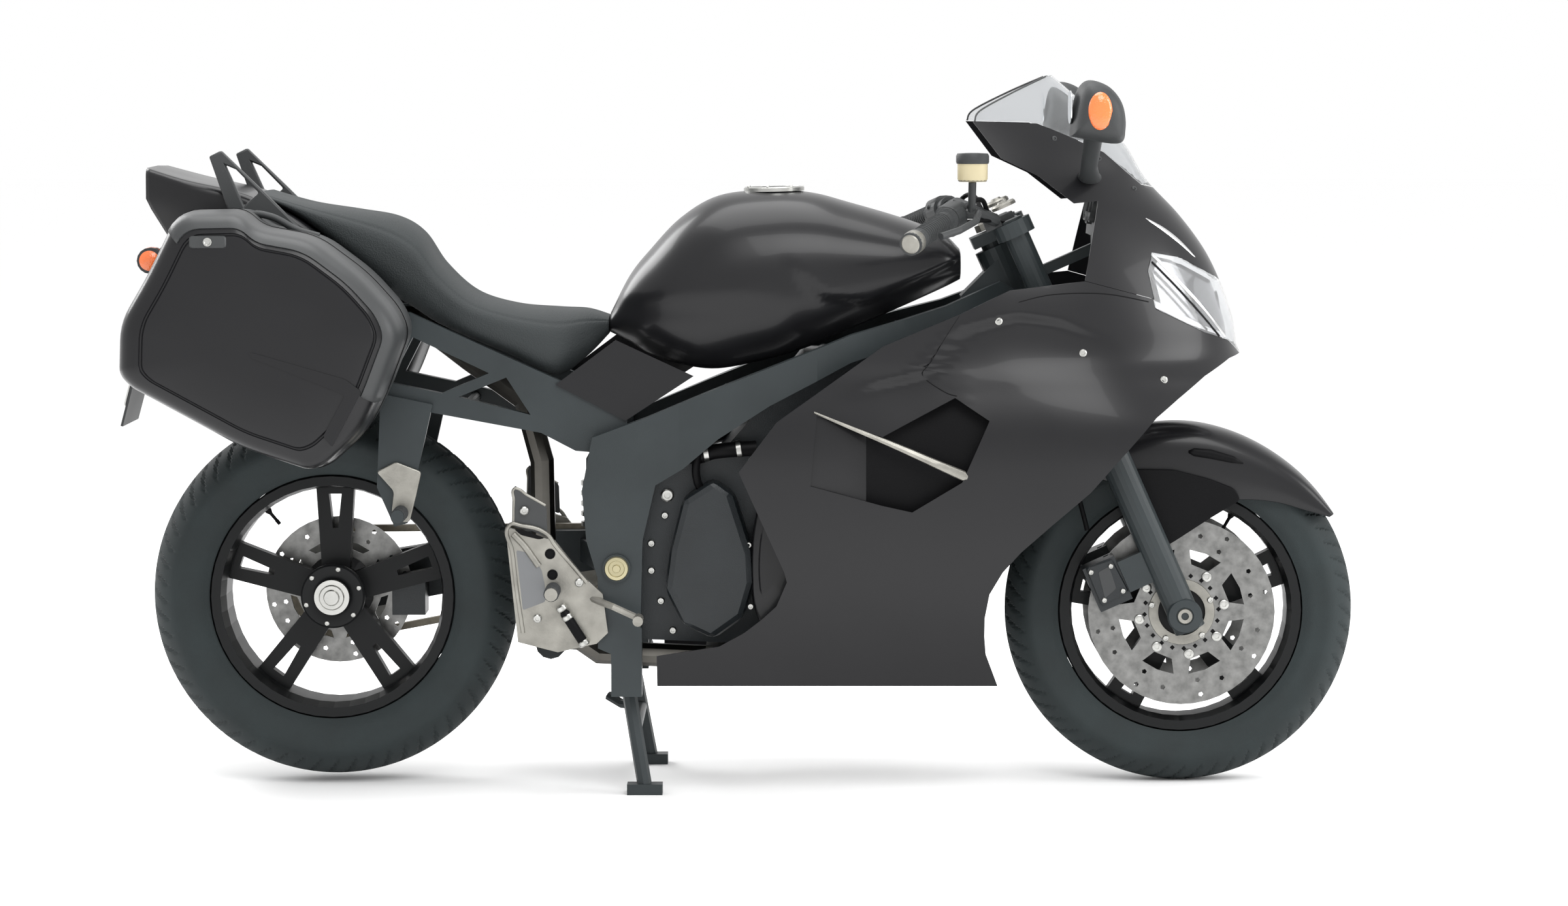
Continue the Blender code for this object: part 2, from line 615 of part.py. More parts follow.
def rim(centre, half_width):
    """A wheel rim: two lips and a well between them."""
    well = RIM_OPENING_RADIUS + RIM_WALL
    profile = [
        (RIM_LIP_RADIUS - SEAT_GAP - OVERRUN - RIM_WALL / 2, half_width),
        (TYRE_BEAD_RADIUS - SEAT_GAP, half_width - RIM_WALL),
        (well, half_width * 0.55),
        (well, -half_width * 0.55),
        (TYRE_BEAD_RADIUS - SEAT_GAP, -half_width + RIM_WALL),
        (RIM_LIP_RADIUS - SEAT_GAP - OVERRUN - RIM_WALL / 2, -half_width),
        (RIM_OPENING_RADIUS + RIM_WALL, -half_width),
        (RIM_OPENING_RADIUS, -half_width * 0.55),
        (RIM_OPENING_RADIUS, half_width * 0.55),
        (RIM_OPENING_RADIUS + RIM_WALL, half_width),
    ]
    return turned(profile, centre, closed=True)


def spoke_star(centre, phase):
    """Five cast spokes, each with a slot between its two bars."""
    star = []
    slots = []
    for index in range(SPOKE_COUNT):
        angle = phase + 2 * pi * index / SPOKE_COUNT
        along = Vector((cos(angle), sin(angle)))
        across = Vector((-sin(angle), cos(angle)))
        middle = Vector((centre.x, centre.z))
        tip = RIM_OPENING_RADIUS + RIM_WALL / 2
        for side in (-1, 1):
            corner = middle + along * (HUB_RADIUS if side < 0 else tip)
            far = middle + along * (tip if side < 0 else HUB_RADIUS)
            near_width = SPOKE_ROOT_HALF_WIDTH if side < 0 else SPOKE_TIP_HALF_WIDTH
            far_width = SPOKE_TIP_HALF_WIDTH if side < 0 else SPOKE_ROOT_HALF_WIDTH
            star.append(corner + across * side * near_width)
            star.append(far + across * side * far_width)
        slots.append([
            middle + along * SPOKE_SLOT_INNER_RADIUS - across * SPOKE_SLOT_HALF_WIDTH * 0.4,
            middle + along * SPOKE_SLOT_OUTER_RADIUS - across * SPOKE_SLOT_HALF_WIDTH,
            middle + along * SPOKE_SLOT_OUTER_RADIUS + across * SPOKE_SLOT_HALF_WIDTH,
            middle + along * SPOKE_SLOT_INNER_RADIUS + across * SPOKE_SLOT_HALF_WIDTH * 0.4,
        ])
    return slab([star] + slots, -SPOKE_HALF_THICKNESS, SPOKE_HALF_THICKNESS)


def front_wheel(carrier):
    hub_profile = [
        (FRONT_HUB_FLANGE_RADIUS, FRONT_HUB_HALF_LENGTH),
        (FRONT_HUB_FLANGE_RADIUS, FRONT_HUB_HALF_LENGTH - OVERRUN),
        (HUB_RADIUS, FRONT_HUB_HALF_LENGTH - 2 * OVERRUN),
        (HUB_RADIUS, 2 * OVERRUN - FRONT_HUB_HALF_LENGTH),
        (FRONT_HUB_FLANGE_RADIUS, OVERRUN - FRONT_HUB_HALF_LENGTH),
        (FRONT_HUB_FLANGE_RADIUS, -FRONT_HUB_HALF_LENGTH),
        (FRONT_AXLE_RADIUS + RUNNING_GAP, -FRONT_HUB_HALF_LENGTH),
        (FRONT_AXLE_RADIUS + RUNNING_GAP, FRONT_HUB_HALF_LENGTH),
    ]
    bore = drum(
        FRONT_AXLE_RADIUS + RUNNING_GAP * 1.5,
        FRONT_AXLE - Vector((0, SPOKE_HALF_THICKNESS + OVERRUN, 0)),
        FRONT_AXLE + Vector((0, SPOKE_HALF_THICKNESS + OVERRUN, 0)),
    )
    star = cut(spoke_star(FRONT_AXLE, FRONT_SPOKE_PHASE), [bore])
    hub = turned(hub_profile, FRONT_AXLE, steps=SMALL_STEPS, closed=True)
    wheel = join([rim(FRONT_AXLE, FRONT_RIM_HALF_WIDTH), star, hub])
    keep(wheel, "front_wheel", "wheel paint", carrier)
    keep(tyre(FRONT_AXLE, FRONT_TYRE_RADIUS, FRONT_TYRE_HALF_WIDTH), "front_tyre", "tyre", carrier)


def rear_wheel(carrier):
    hub_profile = [
        (0, REAR_HUB_LEFT),
        (REAR_HUB_FLANGE_RADIUS, REAR_HUB_LEFT),
        (REAR_HUB_FLANGE_RADIUS, REAR_HUB_LEFT - OVERRUN),
        (HUB_RADIUS, REAR_HUB_LEFT - 2 * OVERRUN),
        (HUB_RADIUS, -REAR_HUB_RIGHT),
        (REAR_NUT_RADIUS, -REAR_HUB_RIGHT),
        (REAR_NUT_RADIUS, -REAR_HUB_RIGHT - REAR_NUT_HEIGHT),
        (REAR_NUT_RADIUS * 0.6, -REAR_HUB_RIGHT - REAR_NUT_HEIGHT),
        (REAR_NUT_RADIUS * 0.6, -REAR_HUB_RIGHT),
        (0, -REAR_HUB_RIGHT),
    ]
    hub = turned(hub_profile, REAR_AXLE, steps=SMALL_STEPS)
    wheel = join([rim(REAR_AXLE, REAR_RIM_HALF_WIDTH), spoke_star(REAR_AXLE, REAR_SPOKE_PHASE), hub])
    keep(wheel, "rear_wheel", "wheel paint", carrier)
    keep(tyre(REAR_AXLE, REAR_TYRE_RADIUS, REAR_TYRE_HALF_WIDTH), "rear_tyre", "tyre", carrier)


def disc(name, centre, near, radius, bore, band, carrier):
    """A brake disc with a windowed carrier and drilled holes, from Y near to near + thickness."""
    middle = (centre.x, centre.z)
    loops = [circle(middle, radius, ROUND_STEPS), circle(middle, bore, SMALL_STEPS)]
    window_outer = radius - band
    for index in range(DISC_WINDOW_COUNT):
        start = 2 * pi * index / DISC_WINDOW_COUNT
        sweep = 2 * pi / DISC_WINDOW_COUNT
        loops.append([
            (middle[0] + r * cos(start + sweep * share), middle[1] + r * sin(start + sweep * share))
            for r, share in (
                (window_outer, 0.15), (window_outer, 0.5), (window_outer, 0.85),
                ((window_outer + bore) / 2 + RIM_WALL, 0.75), ((window_outer + bore) / 2 + RIM_WALL, 0.25),
            )
        ])
        for ring_share, turn_share in ((0.25, 0.3), (0.5, 0.7), (0.75, 0.3)):
            r = window_outer + band * ring_share
            a = start + sweep * turn_share
            spot = (middle[0] + r * cos(a), middle[1] + r * sin(a))
            loops.append(circle(spot, DISC_HOLE_RADIUS, 5))
    keep(slab(loops, near, near + DISC_THICKNESS), name, "steel", carrier)


def on_head(x, y, z):
    """A point of the steering head's own frame, in world space."""
    return HEAD_MATRIX @ Vector((x, y, z))


def fork(carrier):
    bottom = -AXLE_DROP - SLIDER_TAIL
    slider_top = -AXLE_DROP + SLIDER_LENGTH
    half_head = HEAD_LENGTH / 2
    caliper_centre = Vector((
        FRONT_AXLE.x + CALIPER_RADIUS * cos(CALIPER_ANGLE), 0,
        FRONT_AXLE.z + CALIPER_RADIUS * sin(CALIPER_ANGLE),
    ))
    local = HEAD_MATRIX.inverted() @ caliper_centre
    lug_back = local.x + CALIPER_DEPTH / 2
    for side, word in ((-1, "right"), (1, "left")):
        y = side * FORK_HALF_SPACING
        leg = drum(SLIDER_RADIUS, on_head(FORK_OFFSET, y, bottom), on_head(FORK_OFFSET, y, slider_top))
        lug = block(
            (lug_back, y - SLIDER_RADIUS * 0.4, local.z - CALIPER_LENGTH * 0.35),
            (FORK_OFFSET, y + SLIDER_RADIUS * 0.4, local.z + CALIPER_LENGTH * 0.35),
        )
        lug.data.transform(HEAD_MATRIX)
        keep(join([leg, lug]), f"fork_slider_{word}", "frame paint", carrier)
        disc_out = FRONT_HUB_HALF_LENGTH + SEAT_GAP + DISC_THICKNESS
        jaw_in = FRONT_HUB_HALF_LENGTH + SEAT_GAP - DISC_CLEARANCE - CALIPER_JAW
        low = (local.x - CALIPER_DEPTH / 2 - 2 * CALIPER_JAW, jaw_in, local.z - CALIPER_LENGTH / 2)
        high = (lug_back - SEAT_GAP, FORK_HALF_SPACING + SLIDER_RADIUS * 0.2, local.z + CALIPER_LENGTH / 2)
        body = block(low, high)
        body.data.transform(HEAD_MATRIX)
        slot = drum(
            FRONT_DISC_RADIUS + DISC_CLEARANCE, FRONT_AXLE + Vector((0, jaw_in + CALIPER_JAW, 0)),
            FRONT_AXLE + Vector((0, disc_out + DISC_CLEARANCE, 0)), steps=ROUND_STEPS,
        )
        caliper = cut(body, [slot])
        if side < 0:
            turned_over = mirrored(caliper)
            bpy.data.objects.remove(caliper)
            caliper = turned_over
        keep(caliper, f"front_caliper_{word}", "engine paint", carrier)
    tubes = [
        drum(TUBE_RADIUS, on_head(FORK_OFFSET, side * FORK_HALF_SPACING, slider_top + SEAT_GAP),
             on_head(FORK_OFFSET, side * FORK_HALF_SPACING, half_head + YOKE_GAP + TUBE_TOP))
        for side in (-1, 1)
    ]
    stem = drum(STEM_RADIUS, on_head(0, 0, -half_head - YOKE_GAP - YOKE_THICKNESS / 2),
                on_head(0, 0, half_head + YOKE_GAP + YOKE_THICKNESS / 2))
    yokes = []
    for level in (-half_head - YOKE_GAP - YOKE_THICKNESS, half_head + YOKE_GAP):
        reach = TUBE_RADIUS + YOKE_MARGIN
        step = YOKE_GAP / 4
        bar = block((FORK_OFFSET - reach * 0.7, -FORK_HALF_SPACING, level + step),
                    (FORK_OFFSET + reach * 0.6, FORK_HALF_SPACING, level + YOKE_THICKNESS - step))
        neck = block((-STEM_RADIUS - YOKE_MARGIN, -HEAD_OUTER_RADIUS, level + 2 * step),
                     (FORK_OFFSET, HEAD_OUTER_RADIUS, level + YOKE_THICKNESS - 2 * step))
        for shape in (bar, neck):
            shape.data.transform(HEAD_MATRIX)
            yokes.append(shape)
        for side in (-1, 1):
            yokes.append(drum(reach, on_head(FORK_OFFSET, side * FORK_HALF_SPACING, level),
                              on_head(FORK_OFFSET, side * FORK_HALF_SPACING, level + YOKE_THICKNESS)))
    keep(join(yokes + tubes + [stem]), "fork_yokes", "frame paint", carrier)
    ends = FORK_HALF_SPACING - SLIDER_RADIUS - SEAT_GAP
    axle = drum(FRONT_AXLE_RADIUS, FRONT_AXLE - Vector((0, ends, 0)), FRONT_AXLE + Vector((0, ends, 0)))
    keep(axle, "front_axle", "steel", carrier)


def bar_path():
    """The left handlebar, from the top yoke to its end."""
    top = HEAD_LENGTH / 2 + YOKE_GAP + YOKE_THICKNESS
    base = on_head(FORK_OFFSET - TUBE_RADIUS, FORK_HALF_SPACING + TUBE_RADIUS / 2, top + BAR_RADIUS * 1.1)
    end = Vector((*place(0.181, 0.778), 0)).xzy
    end.y = GRIP_HALF_SPAN
    grip_start = Vector((MID_X + 0.215 * WHEELBASE, GRIP_HALF_SPAN * 0.68, 0.800 * BIKE_HEIGHT))
    bend = grip_start - (end - grip_start).normalized() * HEAD_LENGTH * 0.73
    return base, bend, grip_start, end


def handlebars(carrier):
    base, bend, grip_start, end = bar_path()
    along = (end - grip_start).normalized()
    foot_top = HEAD_LENGTH / 2 + YOKE_GAP + YOKE_THICKNESS + SEAT_GAP
    for side, word in ((-1, "right"), (1, "left")):
        def flip(point):
            return Vector((point.x, side * point.y, point.z))
        bar = pipe(BAR_RADIUS, [flip(p) for p in (base, bend, grip_start, end)])
        weight = drum(BAR_WEIGHT_RADIUS, flip(end), flip(end + along * BAR_WEIGHT_LENGTH))
        foot_x = FORK_OFFSET - TUBE_RADIUS
        foot = block(
            (foot_x - 2 * BAR_RADIUS, -BAR_RADIUS * 1.4, foot_top), (foot_x + BAR_RADIUS, BAR_RADIUS * 1.4,
                                                                    foot_top + 2 * BAR_RADIUS),
        )
        foot.data.transform(HEAD_MATRIX @ Matrix.Translation((0, side * FORK_HALF_SPACING, 0)))
        tube_top = on_head(FORK_OFFSET, side * FORK_HALF_SPACING, foot_top + TUBE_TOP * 2)
        tube_low = on_head(FORK_OFFSET, side * FORK_HALF_SPACING, foot_top - OVERRUN)
        clearance = drum(TUBE_RADIUS + SEAT_GAP * 2, tube_low, tube_top)
        pod_start = grip_start - along * BAR_RADIUS * 4.2
        pod = drum(GRIP_RADIUS * 1.35, flip(pod_start), flip(grip_start - along * BAR_RADIUS))
        keep(cut(join([bar, weight, foot, pod]), [clearance]), f"handlebar_{word}", "black plastic",
            carrier)
        grip_near = grip_start - along * (BAR_RADIUS - SEAT_GAP)
        length = (end - grip_near).length - SEAT_GAP
        sleeve = turned(
            [(GRIP_RADIUS * 1.15, length), (GRIP_RADIUS, length - OVERRUN / 2), (GRIP_RADIUS, OVERRUN),
             (GRIP_RADIUS * 1.3, OVERRUN / 2), (GRIP_RADIUS * 1.3, 0),
             (BAR_RADIUS + 2 * SEAT_GAP, 0), (BAR_RADIUS + 2 * SEAT_GAP, length)],
            (0, 0, 0), steps=SMALL_STEPS, closed=True, axis="Z",
        )
        turn = Vector((0, 0, 1)).rotation_difference(flip(along)).to_matrix().to_4x4()
        sleeve.data.transform(Matrix.Translation(flip(grip_near)) @ turn)
        keep(sleeve, f"grip_{word}", "tyre", carrier)
        perch = pod_start - along * SEAT_GAP
        control = lever(flip, perch, along, side)
        keep(control, "brake_lever" if side < 0 else "clutch_lever", "alloy", carrier)


def lever(flip, perch, along, side):
    """A lever with its perch, clamped round the bar; the brake side carries its reservoir."""
    forward = Vector((along.y, -along.x, 0)).normalized()
    ring_length = BAR_RADIUS * 1.6
    clamp = drum(BAR_RADIUS * 1.6, flip(perch - along * ring_length), flip(perch))
    pivot = perch - along * ring_length / 2 + forward * BAR_RADIUS * 3.4
    arm = pipe(BAR_RADIUS * 0.8, [flip(perch - along * ring_length / 2 + forward * BAR_RADIUS),
        flip(pivot)])
    blade = pipe(LEVER_RADIUS, [
        flip(pivot - along * LEVER_RADIUS),
        flip(pivot + along * GRIP_RADIUS * 3 + forward * GRIP_RADIUS),
        flip(pivot + along * GRIP_RADIUS * 7 + forward * GRIP_RADIUS * 0.7),
        flip(pivot + along * GRIP_RADIUS * 9.6 - forward * GRIP_RADIUS * 0.3),
    ])
    pieces = [clamp, arm, blade]
    if side < 0:
        foot = pivot - forward * BAR_RADIUS * 0.9
        top = foot + Vector((0, RESERVOIR_LEAN, RESERVOIR_HEIGHT * 1.2))
        pieces.append(drum(BAR_RADIUS * 0.6, flip(foot), flip(top)))
        pieces.append(drum(RESERVOIR_RADIUS, flip(top), flip(top + Vector((0, 0, RESERVOIR_HEIGHT)))))
    hole_start = flip(perch - along * (ring_length + OVERRUN))
    hole = drum(BAR_RADIUS + SEAT_GAP * 2, hole_start, flip(perch + along * OVERRUN))
    return cut(join(pieces), [hole])


def sheet(loops, x_cuts):
    """A flat outline of the side view as faces, cut across at each X so that it can bend."""
    bm = bmesh.new()
    edges = []
    for loop in loops:
        verts = [bm.verts.new((x, 0, z)) for x, z in loop]
        edges += [bm.edges.new((vert, verts[(i + 1) % len(verts)])) for i, vert in enumerate(verts)]
    bmesh.ops.triangle_fill(bm, use_beauty=True, edges=edges)
    for x in x_cuts:
        bmesh.ops.bisect_plane(
            bm, geom=bm.verts[:] + bm.edges[:] + bm.faces[:], dist=SEAT_GAP / 10,
            plane_co=(x, 0, 0), plane_no=(1, 0, 0),
        )
    return bm


def bent_plate(loops, x_cuts, inner_y, outer_y):
    """A plate in the side view whose two faces follow inner_y(x) and outer_y(x)."""
    bm = sheet(loops, x_cuts)
    grown = bmesh.ops.extrude_face_region(bm, geom=bm.faces[:])["geom"]
    outer = {item for item in grown if isinstance(item, bmesh.types.BMVert)}
    for vert in bm.verts:
        vert.co.y = outer_y(vert.co.x) if vert in outer else inner_y(vert.co.x)
    return from_bmesh("plate", bm)


def along_table(table, x):
    """A value read off a table of (x, value) by straight lines."""
    if x <= table[0][0]:
        return table[0][1]
    for (x0, v0), (x1, v1) in zip(table, table[1:]):
        if x <= x1:
            return v0 + (v1 - v0) * (x - x0) / (x1 - x0)
    return table[-1][1]


def spar_outer(x):
    table = [(MID_X + share * WHEELBASE, FRAME_HALF_WIDTH * width) for share, width in SPAR_PLAN_SHARES]
    return along_table(table, x)


def spar_inner(x):
    return spar_outer(x) - along_table(
        [(MID_X + share * WHEELBASE, PLATE_THICKNESS * scale) for share, scale in SPAR_WALL_SHARES], x
    )


def main_frame():
    outline = outline_of(SPAR_OUTLINE_SHARES)
    cuts = [MID_X + share * WHEELBASE for share, _ in SPAR_PLAN_SHARES[1:-1]]
    left = bent_plate([outline], cuts, spar_inner, spar_outer)
    right = mirrored(left)
    head = drum(HEAD_OUTER_RADIUS, on_head(0, 0, -HEAD_LENGTH / 2), on_head(0, 0, HEAD_LENGTH / 2))
    beams = []
    for x_share, z_share in BEAM_SHARES:
        x, z = place(x_share, z_share)
        reach = spar_inner(x) + PLATE_THICKNESS / 3
        beams.append(block((x - BEAM_DEPTH / 2, -reach, z - BEAM_DEPTH), (x + BEAM_DEPTH / 2, reach, z)))
    gusset = slab([outline_of(HEAD_GUSSET_SHARES)], -HEAD_OUTER_RADIUS, HEAD_OUTER_RADIUS)
    bore = drum(
        HEAD_BORE_RADIUS, on_head(0, 0, -HEAD_LENGTH / 2 - OVERRUN), on_head(0, 0,
            HEAD_LENGTH / 2 + OVERRUN)
    )
    pivot = Vector(place(*PIVOT_SHARE)).to_3d().xzy
    bolts = [
        drum(PIVOT_CAP_RADIUS, pivot + Vector((0, side * (PLATE_INNER + PLATE_THICKNESS / 2), 0)),
             pivot + Vector((0, side * (PLATE_INNER + PLATE_THICKNESS + PIVOT_CAP_HEIGHT), 0)))
        for side in (-1, 1)
    ]
    stand_x, stand_z = place(*STAND_PIVOT_SHARE)
    lugs = [
        block((stand_x - STAND_LUG, side * PLATE_INNER, stand_z - STAND_LUG / 2),
              (stand_x + STAND_LUG, side * (PLATE_INNER + PLATE_THICKNESS), stand_z + STAND_LUG * 4))
        for side in (-1, 1)
    ]
    frame = cut(join([left, right, head, gusset] + beams + bolts + lugs), [bore])
    keep(frame, "main_frame", "frame paint")


def engine():
    body = slab([outline_of(ENGINE_SHARES)], -ENGINE_HALF_WIDTH, ENGINE_HALF_WIDTH)
    clutch = slab([outline_of(CLUTCH_COVER_SHARES)], -COVER_REACH, -ENGINE_HALF_WIDTH + OVERRUN)
    clutch_modifier = clutch.modifiers.new("Bevel", "BEVEL")
    clutch_modifier.width = COVER_ROUND
    clutch_modifier.segments = 2
    clutch_modifier.limit_method = "ANGLE"
    clutch = as_mesh(clutch)
    middle = Vector(place(*ALTERNATOR_SHARE)).to_3d().xzy
    alternator = turned(
        [(0, COVER_REACH - OVERRUN), (ALTERNATOR_RADIUS * 0.8, COVER_REACH - OVERRUN),
         (ALTERNATOR_RADIUS, COVER_REACH - 2 * OVERRUN), (ALTERNATOR_RADIUS, 0), (0, 0)],
        middle, steps=SMALL_STEPS,
    )
    sprocket = turned(
        [(0, CHAIN_LINE + SPROCKET_HALF), (FRONT_SPROCKET_RADIUS, CHAIN_LINE + SPROCKET_HALF),
         (FRONT_SPROCKET_RADIUS, CHAIN_LINE - SPROCKET_HALF),
         (FRONT_SPROCKET_RADIUS / 2, CHAIN_LINE - SPROCKET_HALF),
         (FRONT_SPROCKET_RADIUS / 2, ENGINE_HALF_WIDTH - OVERRUN), (0, ENGINE_HALF_WIDTH - OVERRUN)],
        Vector(place(*FRONT_SPROCKET_SHARE)).to_3d().xzy,
    )
    mounts = [sprocket]
    for share in ENGINE_MOUNT_SHARES:
        x, z = place(*share)
        reach = min(spar_inner(x - ENGINE_MOUNT_RADIUS), spar_inner(x + ENGINE_MOUNT_RADIUS)) - SEAT_GAP
        mounts.append(drum(ENGINE_MOUNT_RADIUS, (x, -reach, z), (x, reach, z)))
    keep(join([body, clutch, alternator] + mounts), "engine", "engine paint")


def radiator():
    foot = Vector(place(*RADIATOR_FOOT_SHARE)).to_3d().xzy
    head = Vector(place(*RADIATOR_HEAD_SHARE)).to_3d().xzy
    loop = [(foot.x, foot.z), (foot.x + RADIATOR_DEPTH, foot.z), (head.x + RADIATOR_DEPTH, head.z),
            (head.x, head.z)]
    core = slab([loop], -RADIATOR_HALF_WIDTH, RADIATOR_HALF_WIDTH)
    nose_x = place(*ENGINE_SHARES[ENGINE_NOSE_INDEX])[0]
    brackets = []
    for side in (-1, 1):
        y = side * ENGINE_HALF_WIDTH * 0.88
        z = (foot.z + head.z) / 2
        brackets.append(block((nose_x + SEAT_GAP, y - OVERRUN, z - OVERRUN),
                              ((foot.x + head.x) / 2 + RADIATOR_DEPTH / 2, y + OVERRUN, z + OVERRUN)))
    keep(join([core] + brackets), "radiator", "black plastic")


def exhaust():
    """Three header pipes into a box under the engine, and a link pipe up behind it."""
    headers = []
    box_low = Vector((*place(*EXHAUST_BOX_SHARES[0]), 0)).xzy
    box_high = Vector((*place(*EXHAUST_BOX_SHARES[1]), 0)).xzy
    box = block((box_low.x, -EXHAUST_BOX_HALF_WIDTH, box_low.z),
        (box_high.x, EXHAUST_BOX_HALF_WIDTH, box_high.z))
    for y_share in (-1, 0, 1):
        y = y_share * HEADER_SPACING
        points = [Vector((*place(*share), 0)).xzy for share in HEADER_SHARES]
        points[0].x += SEAT_GAP
        for point in points:
            point.y = y
        headers.append(pipe(HEADER_RADIUS, points, resolution=2))
    link = []
    for x_share, z_share, y_share in LINK_PIPE_SHARES:
        x, z = place(x_share, z_share)
        link.append(Vector((x, y_share * ENGINE_HALF_WIDTH, z)))
    tube = pipe(LINK_RADIUS, link, resolution=3)
    keep(join([box, tube] + headers), "exhaust_pipes", "steel")


def silencer():
    """A flat can under the seat with three outlets in its tail."""
    rings = []
    for x_share, z_share, width_share, height_share in SILENCER_SHARES:
        x, z = place(x_share, z_share)
        rings.append([
            (x, SILENCER_HALF_WIDTH * width_share * cos(a) * abs(cos(a)) ** -0.4,
             z + SILENCER_HALF_HEIGHT * height_share * sin(a))
            for a in [2 * pi * (i + 0.5) / 12 for i in range(12)]
        ])
    can = loft(rings)
    x, z = place(*SILENCER_SHARES[-1][:2])
    outlets = [
        drum(OUTLET_RADIUS, (x - OUTLET_LENGTH, y, z + OUTLET_LENGTH * 0.3), (x + OVERRUN, y, z), steps=12)
        for y in (-OUTLET_SPACING, 0, OUTLET_SPACING)
    ]
    ears = []
    ear_x, ear_z = place(*SILENCER_EAR_SHARE)
    for side in (-1, 1):
        near = side * SILENCER_HALF_WIDTH * 0.5
        far = side * (SUBFRAME_INNER - SEAT_GAP)
        ears.append(block((ear_x - OVERRUN, min(near, far), ear_z - OVERRUN),
                          (ear_x + OVERRUN, max(near, far), ear_z + OVERRUN)))
    keep(join([can] + outlets + ears), "silencer", "steel")


def subframe():
    loops = [outline_of(shares) for shares in SUBFRAME_LOOP_SHARES]
    sides = [
        slab(loops, side * SUBFRAME_INNER, side * (PLATE_INNER - SEAT_GAP)) for side in (-1, 1)
    ]
    ties = []
    for share in SUBFRAME_TIE_SHARES:
        x, z = place(*share)
        reach = SUBFRAME_INNER + OVERRUN
        ties.append(drum(TIE_RADIUS, (x, -reach, z), (x, reach, z), steps=12))
    keep(join(sides + ties), "rear_subframe", "frame paint")


def swingarm():
    """A single arm on the left, from the pivot to the hub that carries the axle."""
    pivot = Vector(place(*PIVOT_SHARE)).to_3d().xzy
    barrel = drum(PIVOT_BARREL_RADIUS, pivot - Vector((0, ARM_OUTER, 0)), pivot + Vector((0, ARM_OUTER, 0)))
    bolt_end = PLATE_INNER - SEAT_GAP
    bolt = drum(PIVOT_BOLT_RADIUS, pivot - Vector((0, bolt_end, 0)), pivot + Vector((0, bolt_end, 0)))
    arm = slab([outline_of(ARM_SHARES)], ARM_INNER, ARM_OUTER)
    brace_loop = [
        (pivot.x + PIVOT_BARREL_RADIUS * 0.3, -ARM_OUTER * 0.75),
        (pivot.x - PIVOT_BARREL_RADIUS, -ARM_OUTER * 0.75),
        (pivot.x - BRACE_REACH, ARM_INNER + OVERRUN),
        (pivot.x, ARM_INNER + OVERRUN),
    ]
    bm = bmesh.new()
    face = bm.faces.new([bm.verts.new((x, y, pivot.z - BRACE_HEIGHT / 2)) for x, y in brace_loop])
    grown = bmesh.ops.extrude_face_region(bm, geom=[face])["geom"]
    bmesh.ops.translate(bm, vec=(0, 0, BRACE_HEIGHT), verts=[v for v in grown if isinstance(v,
        bmesh.types.BMVert)])
    brace = from_bmesh("brace", bm)
    carrier_start = REAR_HUB_LEFT + DISC_THICKNESS + SEAT_GAP + 2 * DISC_CLEARANCE
    hub = drum(CARRIER_RADIUS, REAR_AXLE + Vector((0, carrier_start, 0)), REAR_AXLE + Vector((0,
        ARM_OUTER, 0)))
    bore = drum(REAR_AXLE_RADIUS + RUNNING_GAP, REAR_AXLE, REAR_AXLE + Vector((0, ARM_OUTER + OVERRUN, 0)))
    keep(cut(join([arm, barrel, bolt, brace, hub]), [bore]), "swingarm", "frame paint")


def rear_drive(carrier):
    """The axle stub with its sprocket, and the fixed chain loop round it."""
    start = REAR_AXLE + Vector((0, REAR_HUB_LEFT + SEAT_GAP, 0))
    stub = drum(REAR_AXLE_RADIUS, start, REAR_AXLE + Vector((0, CHAIN_LINE + OVERRUN * 2, 0)))
    sprocket = turned(
        [(0, CHAIN_LINE + OVERRUN), (HUB_RADIUS, CHAIN_LINE + OVERRUN),
         (HUB_RADIUS, CHAIN_LINE + SPROCKET_HALF),
         (REAR_SPROCKET_RADIUS, CHAIN_LINE + SPROCKET_HALF),
         (REAR_SPROCKET_RADIUS, CHAIN_LINE - SPROCKET_HALF),
         (0, CHAIN_LINE - SPROCKET_HALF)],
        REAR_AXLE, steps=ROUND_STEPS,
    )
    keep(join([stub, sprocket]), "rear_axle", "steel", carrier)
    front = Vector(place(*FRONT_SPROCKET_SHARE)).to_3d().xzy
    loops = []
    for extra in (CHAIN_HEIGHT, 0):
        big = REAR_SPROCKET_RADIUS + 2 * RUNNING_GAP + extra
        small = FRONT_SPROCKET_RADIUS + CHAIN_SEAT + extra
        line = Vector((front.x - REAR_AXLE.x, front.z - REAR_AXLE.z))
        tilt = atan2(line.y, line.x)
        spread = acos((big - small) / line.length)
        loop = []
        for i in range(17):
            a = tilt + spread + (2 * pi - 2 * spread) * i / 16
            loop.append((REAR_AXLE.x + big * cos(a), REAR_AXLE.z + big * sin(a)))
        for i in range(9):
            a = tilt - spread + 2 * spread * i / 8
            loop.append((front.x + small * cos(a), front.z + small * sin(a)))
        loops.append(loop)
    chain = slab(loops, CHAIN_LINE - CHAIN_HALF_WIDTH, CHAIN_LINE + CHAIN_HALF_WIDTH)
    keep(chain, "drive_chain", "steel")


